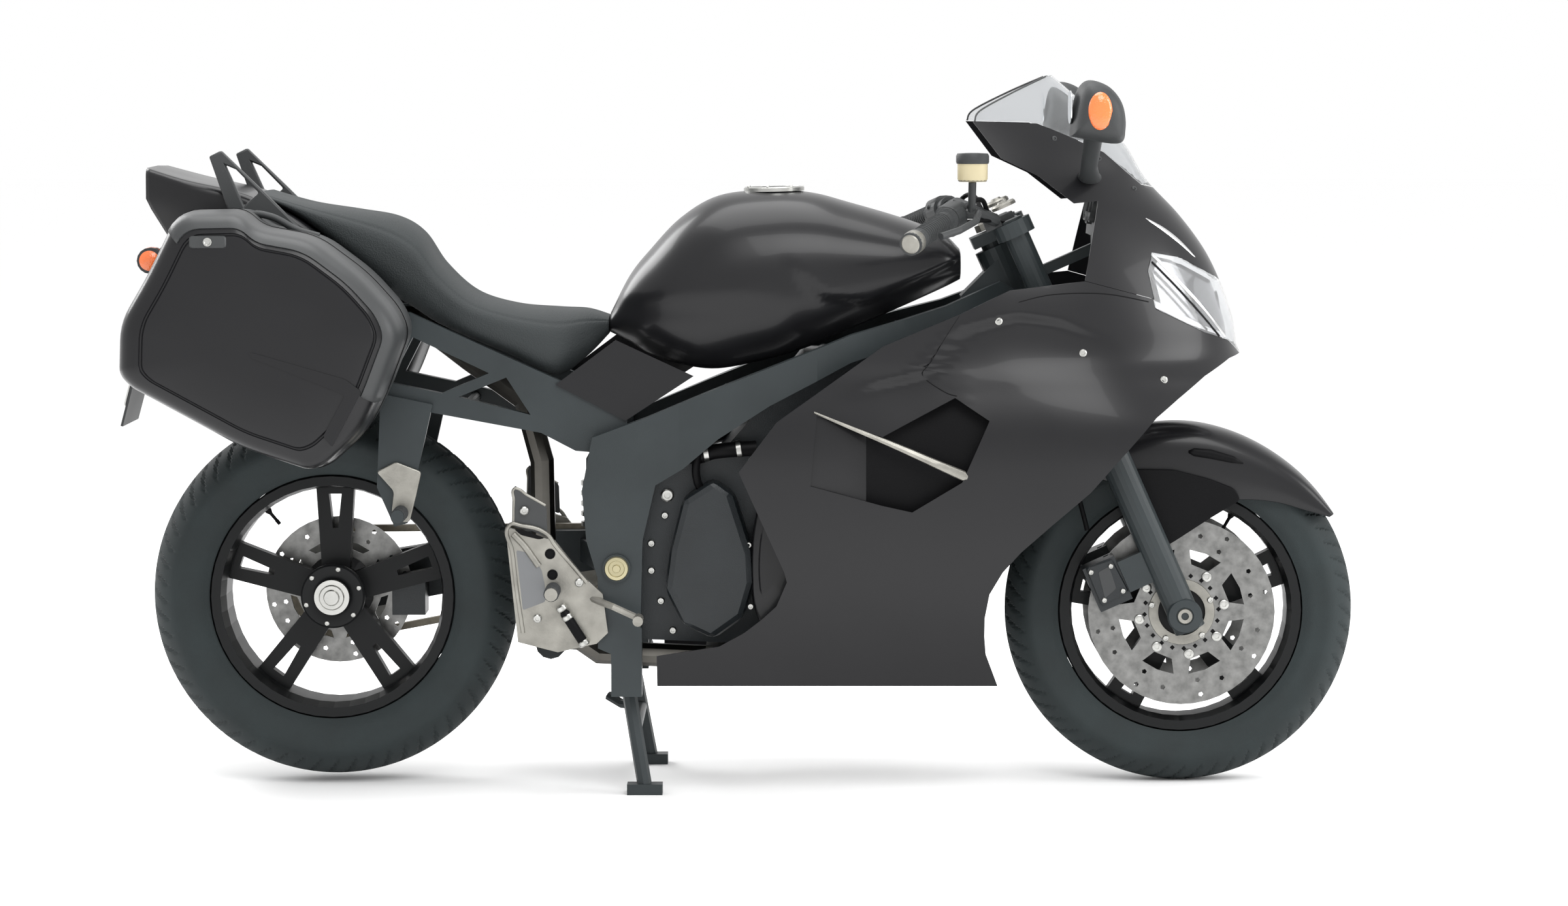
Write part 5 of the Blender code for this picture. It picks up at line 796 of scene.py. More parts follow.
def front_guard():
    """The front mudguard: an arched crown with deep sides."""
    rows = []
    for degree, gap, drop in eased(MUDGUARD_TABLE, 5):
        a = radians(degree)
        row = []
        for i in range(-20, 21):
            t = i / 20
            arc = min(1, abs(t) / MUDGUARD_CROWN)
            fall = 0.30 * (1 - (1 - arc ** 2.6) ** 0.5) + 0.70 * soft_step(abs(t), 0.55, 1.0)
            flare = 1 + 0.02 * soft_step(abs(t), 0.6, 0.8) - 0.03 * soft_step(abs(t), 0.8, 1.0)
            r = FRONT_RADIUS + gap - drop * fall
            row.append((FRONT_AXLE.x + r * cos(a), MUDGUARD_HALF * arc * flare * sign(t),
                        FRONT_AXLE.z + r * sin(a)))
        rows.append(row)
    guard = piece("front_guard", sheet(rows), PAINT, "steering", angle=50)
    give_wall(guard, 0.003)
    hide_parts("front_mudguard")


tank()
cowling()
cowl_lines()
screen_rim()
lamp_units()
seat_pad()
tail_cover()
front_guard()


# ---------------------------------------------------------- wheels and tyres

RIM_BEAD = 0.2105
TREAD_SHARE = 0.64
TREAD_ARC = radians(62)
WALL_DROP = 0.42


def tyre_point(radius, half_width, t, number):
    """Radius and side offset at t, -1 to 1 across the tyre, on ring number of its grooves."""
    side = abs(t)
    if side >= TREAD_SHARE:
        u = (side - TREAD_SHARE) / (1 - TREAD_SHARE)
        start = radius - (radius - RIM_BEAD) * WALL_DROP
        y = half_width * (1 - 0.20 * u ** 2.4) * sign(t)
        if 0.14 < u < 0.20 or 0.72 < u < 0.80:
            y += 0.0012 * sign(t)
        return start + (RIM_BEAD - start) * u, y
    a = TREAD_ARC * t / TREAD_SHARE
    r = radius - (radius - RIM_BEAD) * WALL_DROP * (1 - cos(a)) / (1 - cos(TREAD_ARC))
    phase = (number + 18 * (side / TREAD_SHARE) * sign(t) + (6 if t > 0 else 0)) % 12
    if 0.10 < side < 0.52 and phase < 2.2:
        r -= 0.0035
    elif 0.52 <= side < 0.60 and phase < 1.2:
        r -= 0.0015
    if 0.02 < side < 0.06:
        r -= 0.003
    return r, half_width * sin(a) / sin(TREAD_ARC)


def tyre(name, node, centre, radius, half_width, body):
    """A tyre with slanted grooves across its crown and raised rings on its walls."""
    rows = []
    for number, turn in enumerate(around(720)):
        points = [tyre_point(radius, half_width, 2 * j / 40 - 1, number) for j in range(41)]
        rows.append([(centre.x + r * cos(turn), y, centre.z + r * sin(turn)) for r, y in points])
    rows.append(rows[0])
    bm = sheet(rows)
    bmesh.ops.remove_doubles(bm, verts=bm.verts[:], dist=1e-6)
    shape = piece(name, bm, RUBBER, body, angle=28)
    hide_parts(node)


def round_spots(centre, radius, y, count, phase=0.0):
    return [Vector((centre.x + radius * cos(phase + a), y, centre.z + radius * sin(phase + a)))
            for a in around(count)]


GUARD_PANEL_SHARES = (
    (0.4434, 0.449), (0.4774, 0.3384), (0.4901, 0.3471), (0.531, 0.3792), (0.5679, 0.4059),
    (0.5614, 0.4199), (0.531, 0.4345), (0.4896, 0.4476),
)
JAW_SHARES = ((0.3841, 0.3128), (0.4152, 0.3253), (0.4358, 0.2787), (0.4035, 0.2578))
JAW_BOLT_SHARES = ((0.3909, 0.3064), (0.4067, 0.2671), (0.414, 0.3151), (0.4285, 0.2802))
JAW_FACE = 0.1155


def fork_foot_details():
    """The guard's side panels, the caliper's ribs and bolts, and the ends of the front axle."""
    for side, word in SIDES:
        outline = rounded_loop(places(GUARD_PANEL_SHARES), 0.010)
        piece(f"guard_panel_{word}", prism(outline, side * 0.0835, side * 0.0865), DARK, "steering",
              bevel=0.001)
        outline = rounded_loop(places(JAW_SHARES), 0.006)
        centre = middle_of(outline)
        steps = ((0.112, 1.0), (JAW_FACE, 1.0), (JAW_FACE + 0.002, 0.93))
        piece(f"caliper_face_{word}", loft(stepped(outline, centre, side, steps)), ENGINE, "steering")
        # a lighter trim rib on the caliper's dark face: painted highlight along its raised middle
        cover = [(centre[0] + (x - centre[0]) * 0.42, centre[1] + (z - centre[1]) * 0.68)
                 for x, z in outline]
        piece(f"caliper_highlight_rib_{word}", prism(cover, side * 0.1165, side * 0.1181), TRIM, "steering",
              bevel=0.0008)
        bolts(f"caliper_bolts_{word}", outward(JAW_BOLT_SHARES, 0.1172, side), 0.0048, 0.004, STEEL,
              "steering")
        turned(f"axle_boss_{word}", [(0, -0.022), (0.0285, -0.022), (0.0300, -0.002), (0.0275, 0.002),
                                     (0.0150, 0.0030), (0.0140, 0.0015), (0, 0.0015)],
               FRONT_AXLE + Vector((0, side * 0.134, 0)), (0, side, 0), 48, FRAME, "steering")
        turned(f"axle_ring_{word}", [(0.0065, -0.004), (0.0065, 0.0035), (0.0120, 0.0040),
                                     (0.0130, 0.0020), (0.0130, 0.0)],
               FRONT_AXLE + Vector((0, side * 0.1345, 0)), (0, side, 0), 40, ALLOY, "steering")


def disc_carriers():
    """The bright inner carrier of each front disc, with dark patches painted on as shade in its openings."""
    for side, word in SIDES:
        turned(f"disc_carrier_{word}", [(0.0400, -0.001), (0.0405, 0.0016), (0.0560, 0.0018),
                                        (0.0570, -0.001)], FRONT_AXLE + Vector((0, side * 0.0732, 0)),
               (0, side, 0), 72, ALLOY, "front_wheel")
        window_shades = bmesh.new()
        for spot in round_spots(FRONT_AXLE, 0.0635, side * 0.0731, 20, radians(4)):
            lathe([(0, 0.0006), (0.0040, 0.0006), (0.0046, -0.001), (0, -0.001)], spot, (0, side, 0), 4,
                  window_shades)
        piece(f"disc_window_shades_{word}", window_shades, DARK, "front_wheel")


# name, radius and count of the ring, its turn, bolt radius and height
DISC_BOLTS = (
    ("disc_buttons", 0.0735, 8, 10, 0.0085, 0.003), ("disc_bolts", 0.0530, 5, 23, 0.0055, 0.004),
)
DISC_FACE = 0.0750
VALVE_RING = 0.187


def wheel_details():
    """Treaded tyres, bolts on discs and hubs, the rear axle's nut and the valves."""
    tyre("front_tyre_tread", "front_tyre", FRONT_AXLE, FRONT_RADIUS, 0.060, "front_wheel")
    tyre("rear_tyre_tread", "rear_tyre", REAR_AXLE, REAR_RADIUS, 0.090, "rear_wheel")
    for side, word in SIDES:
        for name, ring, count, degree, radius, height in DISC_BOLTS:
            centres = round_spots(FRONT_AXLE, ring, side * DISC_FACE, count, radians(degree))
            bolts(f"{name}_{word}", [(spot, (0, side, 0)) for spot in centres], radius, height, STEEL,
                  "front_wheel")
    turned("rear_nut_face", [(0, 0.010), (0.012, 0.010), (0.014, 0.006), (0.020, 0.006), (0.022, 0.003),
                             (0.030, 0.003), (0.031, -0.004), (0, -0.004)],
           REAR_AXLE + Vector((0, -0.083, 0)), (0, -1, 0), 48, STEEL, "rear_wheel")
    turned("rear_hub_flange", [(0.031, 0.002), (0.036, 0.003), (0.052, 0.003), (0.055, 0.0),
                               (0.055, -0.012), (0.031, -0.012)], REAR_AXLE + Vector((0, -0.067, 0)),
           (0, -1, 0), 64, WHEEL, "rear_wheel")
    spots = [(spot, (0, -1, 0)) for spot in round_spots(REAR_AXLE, 0.0475, -0.0695, 6, radians(18))]
    bolts("rear_hub_bolts", spots, 0.0045, 0.003, STEEL, "rear_wheel")
    for name, centre, degree, body in (("front_valve", FRONT_AXLE, 60, "front_wheel"),
                                       ("rear_valve", REAR_AXLE, 130, "rear_wheel")):
        a = radians(degree)
        foot = Vector((centre.x + VALVE_RING * cos(a), 0.006, centre.z + VALVE_RING * sin(a)))
        turned(name, [(0, 0.034), (0.003, 0.034), (0.0034, 0.026), (0.0028, 0.024), (0.003, 0.010),
                      (0.006, 0.004), (0.006, -0.001), (0, -0.001)], foot, Vector((-cos(a), 0, -sin(a))),
               16, DARK, body)


# ------------------------------------------------------------------ engine side

COVER_SHARES = (
    (0.030, 0.452), (0.006, 0.420), (-0.006, 0.350), (-0.004, 0.270), (0.014, 0.228), (0.040, 0.224),
    (0.068, 0.262), (0.092, 0.318), (0.086, 0.356), (0.060, 0.410),
)
COVER_STEPS = ((0.176, 1.0), (0.186, 1.0), (0.192, 0.975), (0.195, 0.93), (0.196, 0.80), (0.199, 0.76),
               (0.2005, 0.40), (0.201, 0.05))
PIVOT_SHARE = (-0.162, 0.319)
# name, places, radius of the head
FRAME_BOLTS = (
    ("case_bolts", ((-0.1071, 0.3878), (-0.1229, 0.3486), (-0.1229, 0.3107), (-0.112, 0.268),
                    (-0.0982, 0.2266)), 0.0065),
    ("frame_bolts", ((-0.1041, 0.4162),), 0.0115),
)
HOSE_SHARE = (-0.110, 0.455)


def engine_details():
    """Covers, bolts and hoses on both sides of the engine; the left side goes by the right one."""
    loop = places(COVER_SHARES)
    centre = middle_of(loop)
    smooth = eased_loop(loop, 6)
    for side, word in SIDES:
        piece(f"case_cover_{word}", loft(stepped(smooth, centre, side, COVER_STEPS)), PAINT, "chassis",
              angle=40)
        spots = [(Vector(spot), Vector((0, side, 0)))
                 for spot in scaled(loop, centre, side * 0.190, 1.07)]
        bolts(f"case_bolts_{word}", spots, 0.0055, 0.006, STEEL, "chassis")
        x, z = place(*PIVOT_SHARE)
        turned(f"pivot_ring_{word}", [(0, 0.006), (0.006, 0.006), (0.007, 0.002), (0.013, 0.002),
                                      (0.014, 0.006), (0.019, 0.0055), (0.0205, 0.0), (0.0205, -0.002),
                                      (0, -0.002)], (x, side * 0.1975, z), (0, side, 0), 48, BRASS,
               "chassis")
    for name, shares, radius in FRAME_BOLTS:
        spots = [spot for share in shares for side in (-1, 1) for spot in outward([share], 0.1335, side)]
        bolts(name, spots, radius, 0.006, STEEL, "chassis")
    x, z = place(*HOSE_SHARE)
    for side, word in SIDES:
        tube(f"coolant_hose_{word}", [(x + 0.02, side * 0.10, z + 0.05),
                                      (x + 0.05, side * 0.150, z + 0.02),
                                      (x + 0.09, side * 0.165, z + 0.03),
                                      (x + 0.16, side * 0.160, z + 0.035)], 0.013, DARK, "chassis")
        tube(f"breather_hose_{word}", [(x + 0.09, side * 0.12, z + 0.07),
                                       (x + 0.07, side * 0.160, z + 0.05),
                                       (x + 0.06, side * 0.166, z - 0.02),
                                       (x + 0.09, side * 0.150, z - 0.06)], 0.007, DARK, "chassis")
        for number, (dx, dz) in enumerate(((0.075, 0.027), (0.130, 0.034))):
            turned(f"hose_clip_{word}_{number}", [(0.0132, -0.004), (0.0145, -0.004), (0.0145, 0.004),
                                                  (0.0132, 0.004)], (x + dx, side * 0.163, z + dz),
                   (1, 0, 0.15), 32, STEEL, "chassis")


fork_foot_details()
disc_carriers()
wheel_details()
engine_details()


# ------------------------------------------------------------------- foot rests

# outlines and lines on the foot bracket and the pillion hanger
GUARD_SHARES = (
    (-0.2796, 0.4358), (-0.2702, 0.4252), (-0.2427, 0.4064), (-0.2415, 0.3629), (-0.2613, 0.3723),
    (-0.281, 0.377),
)
BRACKET_RIM_SHARES = (
    (-0.2702, 0.23), (-0.2776, 0.2947), (-0.282, 0.3417), (-0.2855, 0.3793), (-0.2702, 0.3789),
    (-0.2427, 0.3681), (-0.2322, 0.3512), (-0.2148, 0.3265), (-0.1960, 0.2998),
)
BRACKET_RIB_SHARES = ((-0.281, 0.3676), (-0.2682, 0.3511), (-0.2584, 0.3347), (-0.2515, 0.3229))
WEB_SHARES = (
    (-0.2776, 0.3452), (-0.2643, 0.3417), (-0.2485, 0.3182), (-0.2446, 0.2947), (-0.2442, 0.2735),
    (-0.2702, 0.2617),
)
SLOT_SHARES = (
    (-0.28, 0.3746), (-0.2702, 0.3737), (-0.2446, 0.3619), (-0.2515, 0.3601), (-0.2721, 0.3662),
)
HOLLOW_SHARES = ((-0.2385, 0.3400), (-0.2358, 0.3111))
GUARD_EDGE_SHARES = (
    (-0.2810, 0.381), (-0.2806, 0.398), (-0.2802, 0.414), (-0.2797, 0.430), (-0.2745, 0.4295),
    (-0.2660, 0.4222), (-0.2560, 0.4154), (-0.2437, 0.4070),
)
PUMP_SHARES = ((-0.223, 0.2617), (-0.1994, 0.2171))
BRACKET_BOLT_SHARES = ((-0.2535, 0.250), (-0.205, 0.300), (-0.268, 0.400))
CLAMP_SHARES = ((-0.440, 0.452), (-0.418, 0.466), (-0.388, 0.452), (-0.394, 0.420), (-0.402, 0.382),
                (-0.424, 0.382), (-0.420, 0.425))
PEG_SHARE = (-0.235, 0.290)
PILLION_PEG_SHARE = (-0.412, 0.395)


def on_bracket(shares, y):
    return [Vector((x, y, z)) for x, z in places(shares)]


def peg_ribs(name, share, side, outer, pitch, crest, flank):
    """Nine rubber rings along a foot peg; crest and flank are (radius, half width)."""
    x, z = place(*share)
    ribs = bmesh.new()
    for k in range(9):
        lathe([(flank[0], -flank[1]), (crest[0], -crest[1]), crest, flank],
              (x, side * (outer - pitch * k), z), (0, 1, 0), 24, ribs)
    piece(name, ribs, GRIP, "chassis")


def pump_details(y):
    """The rear brake's pump behind the right bracket, with its collars."""
    top, bottom = on_bracket(PUMP_SHARES, y)
    along = bottom - top
    turned("rear_pump", [(0, 0), (0.006, 0), (0.0085, 0.005), (0.0085, along.length - 0.004),
                         (0.006, along.length), (0, along.length)], top, along, 28, DARK, "chassis")
    collars = bmesh.new()
    for part in (-0.16, 0.12, 0.92):
        lathe([(0, 0), (0.0080, 0), (0.0098, 0.002), (0.0098, 0.008), (0.0080, 0.010), (0, 0.010)],
              top + along * part, along, 28, collars)
    piece("pump_collars", collars, STEEL, "chassis")


def foot_details():
    """Ribbed pegs, heel guards, bolts and the pump by the foot brackets and the pillion hangers."""
    for side, word in SIDES:
        low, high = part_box(f"foot_bracket_{word}")
        inner, outer = sorted((abs(low[1]), abs(high[1])))
        peg_ribs(f"peg_ribs_{word}", PEG_SHARE, side, outer - 0.012, 0.0072, (0.0130, 0.0012),
                 (0.0105, 0.0024))
        face = inner + 0.012
        guard = rounded_loop(places(GUARD_SHARES), 0.006)
        piece(f"heel_guard_{word}", prism(guard, side * (inner + 0.004), side * (inner + 0.009)), TRIM,
              "chassis", bevel=0.001)
        # the bright alloy bead along the heel guard's edge is painted highlight; the bracket's rim and rib
        # are its own raised parts
        for name, shares, y, radius in (("guard_edge_highlight", GUARD_EDGE_SHARES, inner + 0.008, 0.0025),
                                        ("bracket_rim", BRACKET_RIM_SHARES, face, 0.0036),
                                        ("bracket_rib", BRACKET_RIB_SHARES, face, 0.0058)):
            tube(f"{name}_{word}", on_bracket(shares, side * y), radius, ALLOY, "chassis")
        # the dark slot outline is painted shade in the bracket's slot; the web is the bracket's own grey
        # panel
        for name, shares, finish in (("web", WEB_SHARES, WEB), ("slot", SLOT_SHARES, DARK)):
            outline = rounded_loop(places(shares), 0.004)
            piece(f"bracket_{name}_{word}", prism(outline, side * (face - 0.002), side * (face + 0.0006)),
                  finish, "chassis")
        # dark discs with a thin rim: painted shade in the bracket's two round holes
        hole_shades = bmesh.new()
        for centre in on_bracket(HOLLOW_SHARES, side * face):
            lathe([(0, 0.0006), (0.0062, 0.0006), (0.0070, 0.0018), (0.0086, 0.0018), (0.0092, -0.001),
                   (0, -0.001)], centre, (0, side, 0), 32, hole_shades)
        piece(f"bracket_hole_shades_{word}", hole_shades, DARK, "chassis")
        bolts(f"bracket_bolts_{word}", outward(BRACKET_BOLT_SHARES, inner + 0.0125, side), 0.0075, 0.005,
              STEEL, "chassis")
        if side < 0:
            pump_details(side * (face + 0.011))
        low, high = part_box(f"pillion_hanger_{word}")
        inner, outer = sorted((abs(low[1]), abs(high[1])))
        clamp = rounded_loop(places(CLAMP_SHARES), 0.006)
        piece(f"pillion_clamp_{word}", prism(clamp, side * (inner + 0.0125), side * (inner + 0.0185)),
              ALLOY, "chassis", bevel=0.0015)
        peg_ribs(f"pillion_ribs_{word}", PILLION_PEG_SHARE, side, outer - 0.010, 0.0068, (0.0128, 0.0010),
                 (0.0105, 0.0022))


# --------------------------------------------------------------------- cockpit

GRIP_END = Vector((0.2925, 0.360, 0.9476))
GRIP_START = Vector((0.342, 0.2448, 0.9744))
SWITCH_SHIFT = 0.030
PERCH_SHIFT = 0.062
FORK_TOP = 0.128


def on_head(x, y, z):
    return HEAD_MATRIX @ Vector((x, y, z))


def fluid_pot():
    """The brake fluid's pot and its cap, on the CAD pot found by its topmost points."""
    pot_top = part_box("brake_lever")[1][2]
    perch_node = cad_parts["brake_lever"]
    spots = [perch_node.matrix_world @ vertex.co for vertex in perch_node.data.vertices]
    spots = [spot for spot in spots if spot.z > pot_top - 0.002]
    x = sum(spot.x for spot in spots) / len(spots)
    y = sum(spot.y for spot in spots) / len(spots)
    turned("fluid_pot", [(0, -0.0005), (0.0225, -0.0005), (0.0252, 0.004), (0.0252, 0.030), (0, 0.030)],
           (x, y, pot_top - 0.0465), (0, 0, 1), 40, BEIGE, "steering")
    turned("fluid_pot_cap", [(0, 0.0), (0.0265, 0.0), (0.0275, 0.003), (0.0275, 0.013), (0.0255, 0.017),
                             (0.010, 0.018), (0, 0.018)], (x, y, pot_top - 0.017), (0, 0, 1), 40, PLASTIC,
           "steering")


def switch_pod(pod, direction, side, word):
    """A rounded switch housing round the bar, with its button."""
    rings = []
    for shift, scale in ((-0.022, 0.80), (-0.019, 1.0), (0.019, 1.0), (0.022, 0.80)):
        ring = []
        for a in around(20):
            across, up = oval(0.021 * scale, 0.026 * scale, a, 0.6)
            ring.append(pod + direction * shift + Vector((across, 0, up - 0.003)))
        rings.append(ring)
    piece(f"switch_pod_{word}", loft(rings), PLASTIC, "steering", angle=50)
    turned(f"switch_button_{word}", [(0, 0.004), (0.005, 0.004), (0.006, 0.002), (0.006, -0.002),
                                     (0, -0.002)], pod + Vector((-0.021, 0, 0.006)), (-1, 0, 0.2), 20,
           RED if side < 0 else TRIM, "steering")


def controls():
    """Hoses, switches, caps and bar ends on the steering."""
    fluid_pot()
    for side, word in SIDES:
        end, start = [Vector((spot.x, side * spot.y, spot.z)) for spot in (GRIP_END, GRIP_START)]
        direction = (end - start).normalized()
        turned(f"bar_end_{word}", [(0, 0.0315), (0.014, 0.0315), (0.0185, 0.028), (0.0195, 0.020),
                                   (0.0195, 0.010), (0.017, 0.001), (0.013, 0.001), (0, 0.001)], end,
               direction, 40, ALLOY, "steering")
        ribs = bmesh.new()
        for k in range(14):
            lathe([(0.0160, -0.0016), (0.0175, -0.0009), (0.0175, 0.0009), (0.0160, 0.0016)],
                  start + direction * (0.014 + k * 0.0075), direction, 28, ribs)
        piece(f"grip_ribs_{word}", ribs, GRIP, "steering")
        pod = start - direction * SWITCH_SHIFT
        switch_pod(pod, direction, side, word)
        turned(f"fork_cap_{word}", [(0, 0.007), (0.008, 0.007), (0.010, 0.004), (0.019, 0.004),
                                    (0.0215, 0.001), (0.0215, -0.004), (0, -0.004)],
               on_head(FORK_OFFSET, side * FORK_HALF, FORK_TOP), HEAD_UP, 40, ALLOY, "steering")
        perch = start - direction * PERCH_SHIFT
        knee = on_head(0.048, side * 0.078, -0.060)
        hose = [perch + Vector((0.012, 0, 0.004)), perch + Vector((0.035, -side * 0.020, 0.022)),
                perch + Vector((0.060, -side * 0.075, -0.010)), on_head(0.048, side * 0.078, 0.030), knee]
        wire = [
            pod + Vector((0.004, -side * 0.012, -0.015)), pod + Vector((0.034, -side * 0.045, -0.008)),
            on_head(0.050, side * 0.085, 0.070), on_head(0.058, side * 0.080, 0.010),
        ]
        brake = [knee, on_head(0.052, side * 0.074, -0.130), on_head(-0.030, side * 0.078, -0.330),
                 on_head(-0.052, side * 0.086, -0.440)]
        for name, points, radius in (("control_hose", hose, 0.0042), ("switch_wire", wire, 0.0032),
                                     ("brake_hose", brake, 0.0042)):
            tube(f"{name}_{word}", points, radius, DARK, "steering")
    turned("ignition_switch", [(0, 0.010), (0.010, 0.010), (0.013, 0.008), (0.019, 0.008), (0.020, 0.006),
                               (0.020, -0.004), (0, -0.004)], on_head(0.034, 0, 0.101), HEAD_UP, 40,
           PLASTIC, "steering")
    turned("stem_nut", [(0, 0.012), (0.009, 0.012), (0.010, 0.010), (0.017, 0.010), (0.0175, -0.002),
                        (0, -0.002)], on_head(0, 0, 0.099), HEAD_UP, 6, ALLOY, "steering")


def dial_marks(centre, normal, radius):
    """Eleven raised ticks round a dial."""
    turn = UP.rotation_difference(normal).to_matrix()
    marks = bmesh.new()
    for k in range(11):
        a = radians(-120 + 24 * k)
        direction = turn @ Vector((cos(a), sin(a), 0))
        across = normal.cross(direction) * 0.0006
        lift = normal * 0.0012
        corners = []
        for base in (centre + direction * radius * 0.72, centre + direction * radius * 0.86):
            corners += [base - across, base + across, base + across + lift, base - across + lift]
        verts = [marks.verts.new(corner) for corner in corners]
        for quad in ((0, 1, 2, 3), (4, 5, 6, 7), (0, 1, 5, 4), (1, 2, 6, 5), (2, 3, 7, 6), (3, 0, 4, 7)):
            marks.faces.new([verts[i] for i in quad])
    return marks


def dials():
    """Three round dials with ticks on the panel's sloping face."""
    low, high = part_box("instrument_panel")
    face = Vector((low[0] + 0.006, 0, (low[2] + high[2]) / 2 + 0.014))
    normal = Vector((-0.99, 0, 0.16)).normalized()
    for number, (y, radius) in enumerate(((0.056, 0.030), (0, 0.034), (-0.056, 0.030))):
        centre = face + Vector((0, y, 0)) + normal * 0.004
        turned(f"dial_rim_{number}", [(radius * 0.9, -0.010), (radius * 1.08, -0.010),
                                      (radius * 1.08, 0.003), (radius * 1.02, 0.005),
                                      (radius * 0.94, 0.003), (radius * 0.9, 0.0)], centre, normal, 48,
               TRIM, "chassis")
        turned(f"dial_face_{number}", [(0, 0.0005), (radius * 0.93, 0.0005), (radius * 0.93, -0.008),
                                       (0, -0.008)], centre, normal, 48, DARK, "chassis")
        piece(f"dial_marks_{number}", dial_marks(centre, normal, radius), PLATE, "chassis")


MIRROR_SHARES = (
    (0.352, 0.917), (0.355, 0.955), (0.362, 0.983), (0.375, 0.992), (0.397, 0.982), (0.411, 0.958),
    (0.414, 0.925), (0.405, 0.907),
)
MIRROR_FOOT_SHARE = (0.385, 0.858)
MIRROR_NEAR = 0.290
MIRROR_WIDTH = 0.135


def ellipse_ring(x, y, z, width, height, count):
    return [(x + width * cos(a), y, z + height * sin(a)) for a in around(count)]


def mirror_details():
    """The mirrors' shells on stalks from the cowl, with their glasses and small side lamps."""
    loop = eased_loop(places(MIRROR_SHARES), 6)
    cx, cz = middle_of(loop)
    for side, word in SIDES:
        steps = [(MIRROR_NEAR + MIRROR_WIDTH * share, scale) for share, scale in (
            (0, 0.40), (0.03, 0.62), (0.10, 0.84), (0.22, 0.96), (0.5, 1.0), (0.75, 0.95), (0.90, 0.82),
            (0.97, 0.60), (1.0, 0.35))]
        shell = piece(f"mirror_shell_{word}", loft(stepped(loop, (cx, cz), side, steps)), PLASTIC,
                      "chassis", angle=60)
        x, z = place(*MIRROR_FOOT_SHARE)
        foot_y = cowl_half(x, z)
        stalk = [ellipse_ring(px, side * y, pz, width, height, 24) for y, px, pz, width, height in (
            (foot_y - 0.004, x, z, 0.022, 0.013), (foot_y + 0.02, x, z + 0.003, 0.017, 0.011),
            (foot_y + 0.06, x - 0.004, z + 0.020, 0.014, 0.010),
            (0.300, cx - 0.004, cz - 0.045, 0.016, 0.011), (0.345, cx, cz - 0.030, 0.020, 0.012))]
        stem = piece(f"mirror_stalk_{word}", loft(stalk), PLASTIC, "chassis", angle=60)
        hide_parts(f"mirror_{word}")
        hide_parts(f"mirror_{word}")
        glass = []
        for dx, scale in ((0.0, 0.80), (-0.0015, 0.78)):
            corners = [oval(0.052 * scale, 0.034 * scale, a, 0.7) for a in around(32)]
            glass.append([(cx - 0.046 + dx, side * (0.358 + y), cz + 0.004 + up) for y, up in corners])
        piece(f"mirror_glass_{word}", loft(glass), MIRROR, "chassis")
        lamp = [ellipse_ring(cx - 0.002, side * y, cz - 0.002, 0.021 * scale, 0.033 * scale, 28)
                for y, scale in ((0.398, 1.0), (0.424, 0.92), (0.4275, 0.70), (0.4285, 0.30))]
        piece(f"mirror_lamp_{word}", loft(lamp), AMBER, "chassis", angle=60)


foot_details()
controls()
dials()
mirror_details()


# ------------------------------------------------------ panniers, rails and tail

PANNIER_SHARES = (
    (-0.646, 0.817), (-0.680, 0.735), (-0.712, 0.670), (-0.714, 0.599), (-0.701, 0.582), (-0.571, 0.497),
    (-0.498, 0.468), (-0.480, 0.476), (-0.441, 0.518), (-0.420, 0.565), (-0.392, 0.653), (-0.403, 0.686),
    (-0.438, 0.733), (-0.494, 0.783), (-0.554, 0.796), (-0.575, 0.819),
)
PANNIER_WALL = 0.004
# distances from the middle of the motorcycle, with the outline's scale there
CASE_STEPS = (
    (0.1800, 0.80), (0.1800, 0.925), (0.1815, 0.950), (0.1850, 0.968), (0.1900, 0.984), (0.2200, 0.990),
    (0.2900, 0.998), (0.3050, 1.000), (0.3070, 1.004), (0.3185, 1.004), (0.3190, 1.000),
)
LID_STEPS = (
    (0.3205, 1.000), (0.3210, 1.004), (0.3330, 1.003), (0.3350, 0.998), (0.3800, 0.990), (0.4150, 0.978),
    (0.4300, 0.965), (0.4410, 0.940), (0.4480, 0.905), (0.4530, 0.865), (0.4560, 0.830), (0.4540, 0.822),
    (0.4540, 0.812), (0.4572, 0.800), (0.4592, 0.700), (0.4600, 0.400), (0.4600, 0.050),
)
SEAL_STEPS = ((0.3215, 1.0045), (0.3215, 1.0085), (0.3255, 1.0085), (0.3255, 1.0045), (0.3215, 1.0045))
BAND_STEPS = ((0.3360, 1.000), (0.3800, 0.994), (0.4150, 0.982), (0.4305, 0.969), (0.4420, 0.944),
              (0.4492, 0.909), (0.4542, 0.869), (0.4520, 0.860))
RELIEF_SHARES = ((-0.560, 0.625), (-0.455, 0.575), (-0.480, 0.520), (-0.470, 0.505), (-0.437, 0.580),
                 (-0.455, 0.596), (-0.560, 0.632))
LATCH_SHARE = (-0.606, 0.778)
LATCH_STEPS = ((0.440, 1.0), (0.4585, 1.0), (0.4605, 0.93))
HANDLE_SHARES = ((-0.580, 0.8235), (-0.575, 0.8330), (-0.555, 0.8330), (-0.520, 0.8130), (-0.497, 0.8050))
HANDLE_REACH = 0.268
HANDLE_DROP = 0.030


def box_loop(half_width, half_height, radius):
    corners = [(-half_width, -half_height), (half_width, -half_height), (half_width, half_height),
               (-half_width, half_height)]
    return rounded_loop(corners, radius)


def capped(rings, end):
    """A skin through rings, closed at its first ring (end 0) or its last one (end -1)."""
    bm = loft(rings, caps=False)
    bm.verts.ensure_lookup_table()
    count = len(rings[0])
    bm.faces.new(bm.verts[:count] if end == 0 else bm.verts[-count:])
    return bm


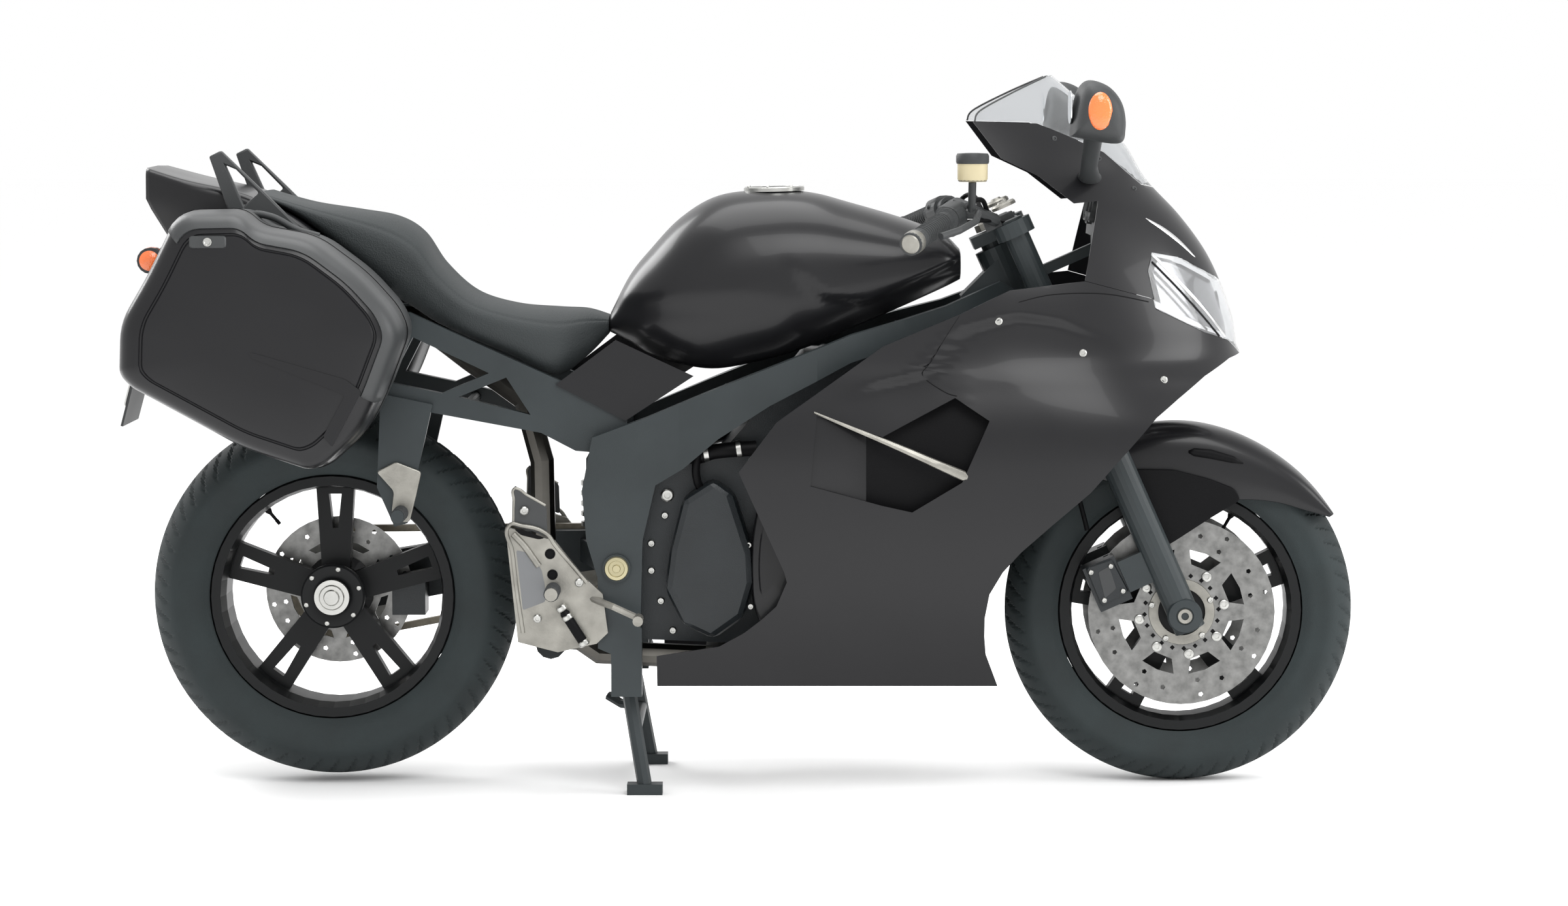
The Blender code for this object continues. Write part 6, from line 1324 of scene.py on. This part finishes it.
def lid_trim(loop, centre, side, word):
    """The lid's seal, shoulder band, raised flash, latch and lock."""
    seal = loft(stepped(loop, centre, side, SEAL_STEPS), caps=False)
    piece(f"lid_seal_{word}", seal, DARK, f"pannier_lid_{word}", angle=40)
    rear, floor = place(-0.66, 0.56)
    shoulder = [(x, z) for x, z in loop if x > rear and z > floor]
    shoulder.sort(key=lambda point: atan2(point[1] - centre[1], point[0] - centre[0]))
    steps = [(y + 0.001, scale + 0.003) for y, scale in BAND_STEPS]
    band = piece(f"lid_band_{word}", sheet(stepped(shoulder, centre, side, steps)), TRIM,
                 f"pannier_lid_{word}", angle=50)
    give_wall(band, 0.0015)
    relief = prism(rounded_loop(places(RELIEF_SHARES), 0.006), side * 0.455, side * 0.4612)
    piece(f"lid_relief_{word}", relief, PAINT, f"pannier_lid_{word}", angle=40)
    x, z = place(*LATCH_SHARE)
    plate = box_loop(0.030, 0.010, 0.006)
    latch = [[(x + dx * scale, side * y, z + dz * scale) for dx, dz in plate] for y, scale in LATCH_STEPS]
    piece(f"lid_latch_{word}", loft(latch), TRIM, f"pannier_lid_{word}", angle=40)
    turned(f"lid_lock_{word}", [(0, 0.001), (0.004, 0.001), (0.005, 0.002), (0.007, 0.002),
                                (0.0075, -0.001), (0, -0.001)], (x, side * 0.4605, z), (0, side, 0), 28,
           STEEL, f"pannier_lid_{word}")


def panniers():
    """Both cases and their lids, each a walled shell stepped out from the same outline."""
    centre = middle_of(places(PANNIER_SHARES))
    loop = rounded_loop(places(PANNIER_SHARES), 0.030)
    for side, word in SIDES:
        case = piece(f"case_shell_{word}", capped(stepped(loop, centre, side, CASE_STEPS), 0), PLASTIC,
                     "chassis", angle=40)
        give_wall(case, PANNIER_WALL)
        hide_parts(f"pannier_case_{word}")
        lid = piece(f"lid_shell_{word}", capped(stepped(loop, centre, side, LID_STEPS), -1), PAINT,
                    f"pannier_lid_{word}", angle=40)
        give_wall(lid, PANNIER_WALL)
        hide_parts(f"pannier_lid_{word}")
        lid_trim(loop, centre, side, word)
        handle = [Vector((x, side * HANDLE_REACH, z - HANDLE_DROP)) for x, z in places(HANDLE_SHARES)]
        tube(f"case_handle_{word}", handle, 0.006, PLASTIC, "chassis")


RAIL_SHARES = ((-0.630, 0.888), (-0.616, 0.896), (-0.567, 0.839), (-0.516, 0.778), (-0.421, 0.676),
               (-0.436, 0.667), (-0.520, 0.750), (-0.600, 0.794), (-0.609, 0.815))
RAIL_SLOT_SHARES = ((-0.611, 0.876), (-0.599, 0.870), (-0.573, 0.838), (-0.590, 0.820))
RAIL_NEAR = 0.1645
RAIL_FAR = 0.1795
RAIL_BOLT_SHARES = ((-0.530, 0.772), (-0.450, 0.694))
INDICATOR_SHARE = (-0.697, 0.745)
PLATE_CENTRE = Vector((-1.0345, 0, 0.7125))
PLATE_UP = Vector((0.2574, 0, 0.9663))
PLATE_OUT = Vector((-0.9663, 0, 0.2574))
CELL_PITCH = 0.024
CELL_ROW_PITCH = 0.018


def rear_details():
    """Grab rails, indicators, the blank number plate and the cells on the tail light."""
    for side, word in SIDES:
        base = plain_object(prism(places(RAIL_SHARES), *sorted((side * RAIL_NEAR, side * RAIL_FAR))),
                            "rail_base")
        helper = plain_object(prism(places(RAIL_SLOT_SHARES), -0.3, 0.3), "rail_slot")
        rail = piece(f"rail_{word}", carved(base, [(helper, "DIFFERENCE")]), TRIM, "chassis",
                     bevel=0.005)
        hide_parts(f"grab_rail_{word}")
        bolts(f"rail_bolts_{word}", outward(RAIL_BOLT_SHARES, RAIL_FAR, side), 0.007, 0.004, STEEL,
              "chassis")
        x, z = place(*INDICATOR_SHARE)
        turned(f"rear_indicator_{word}", [(0, 0.004), (0.008, 0.0036), (0.016, 0.001), (0.0205, -0.004),
                                          (0.0215, -0.012), (0.0225, -0.030), (0, -0.030)],
               (x - 0.001, side * 0.2, z), (0, side, 0), 40, AMBER, "chassis")
    blank = box_loop(0.085, 0.060, 0.010)
    rings = []
    for depth, scale in ((0.000, 1.0), (0.0022, 1.0), (0.003, 0.985)):
        centre = PLATE_CENTRE + PLATE_OUT * depth
        rings.append([centre + Vector((0, u * scale, 0)) + PLATE_UP * (v * scale) for u, v in blank])
    piece("number_plate_blank", loft(rings), PLATE, "chassis")
    low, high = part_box("tail_light")
    cells = bmesh.new()
    for row in range(2):
        for k in range(-5, 6):
            lathe([(0, 0.002), (0.004, 0.0015), (0.0075, 0.0), (0.0078, -0.003), (0, -0.003)],
                  (low[0] - 0.0005, CELL_PITCH * k, high[2] - 0.009 - CELL_ROW_PITCH * row), (-1, 0, 0),
                  16, cells)
    piece("tail_light_cells", cells, RED, "chassis")


panniers()
rear_details()


# ------------------------------------------------------------ floor, light and camera

FLOOR_REACH = 60
# name, place, what it is aimed at, size, power
LIGHTS = (
    ("key", (1.2, -4.5, 4.6), (0, 0, 0.6), 3.0, 170),
    ("top", (-0.2, 0.4, 4.8), (0, 0, 0.4), 3.5, 150),
    ("rear", (-3.4, 3.0, 3.0), (0, 0, 0.6), 2.5, 120),
    ("front", (4.6, -1.2, 2.2), (0.4, 0, 0.6), 2.5, 110),
)


def aimed(obj, spot, aim):
    obj.location = spot
    obj.rotation_euler = (Vector(aim) - Vector(spot)).to_track_quat("-Z", "Y").to_euler()


def studio():
    """A wide white floor, a white world and four soft lamps."""
    bm = sheet([[(x, y, 0) for x in (-FLOOR_REACH, FLOOR_REACH)] for y in (-FLOOR_REACH, FLOOR_REACH)])
    mesh = bpy.data.meshes.new("floor")
    bm.to_mesh(mesh)
    bm.free()
    mesh.shade_smooth()
    floor = linked("floor", mesh)
    pale = bpy.data.materials.new("pale_floor")
    pale.use_nodes = True
    shader = pale.node_tree.nodes["Principled BSDF"]
    shader.inputs["Base Color"].default_value = (1, 1, 1, 1)
    shader.inputs["Roughness"].default_value = 1
    mesh.materials.append(pale)
    world = bpy.data.worlds.new("studio")
    world.use_nodes = True
    background = world.node_tree.nodes["Background"]
    background.inputs["Color"].default_value = (1, 1, 1, 1)
    background.inputs["Strength"].default_value = 1.0
    bpy.context.scene.world = world
    for name, spot, aim, size, power in LIGHTS:
        light = bpy.data.lights.new(name, "AREA")
        light.size = size
        light.energy = power
        aimed(linked(name, light), spot, aim)
    bpy.context.scene.view_settings.view_transform = "Standard"


# the photo's view: from the right, a little above the seat, with the lens that shows its width
PHOTO_WIDTH = 2400 * 0.0011376
LENS_FIT = 1.011
CAMERA_X = 0.075
CAMERA_DISTANCE = 7.2
CAMERA_HEIGHT = 1.18
AIM_HEIGHT = 0.60


def photo_camera():
    data = bpy.data.cameras.new("camera")
    data.sensor_fit = "HORIZONTAL"
    data.sensor_width = 36
    data.lens = LENS_FIT * data.sensor_width * CAMERA_DISTANCE / PHOTO_WIDTH
    data.shift_y = -0.012
    data.clip_end = 60
    camera = linked("camera", data)
    aimed(camera, (CAMERA_X, -CAMERA_DISTANCE, CAMERA_HEIGHT), (CAMERA_X, 0, AIM_HEIGHT))
    bpy.context.scene.camera = camera


studio()
photo_camera()
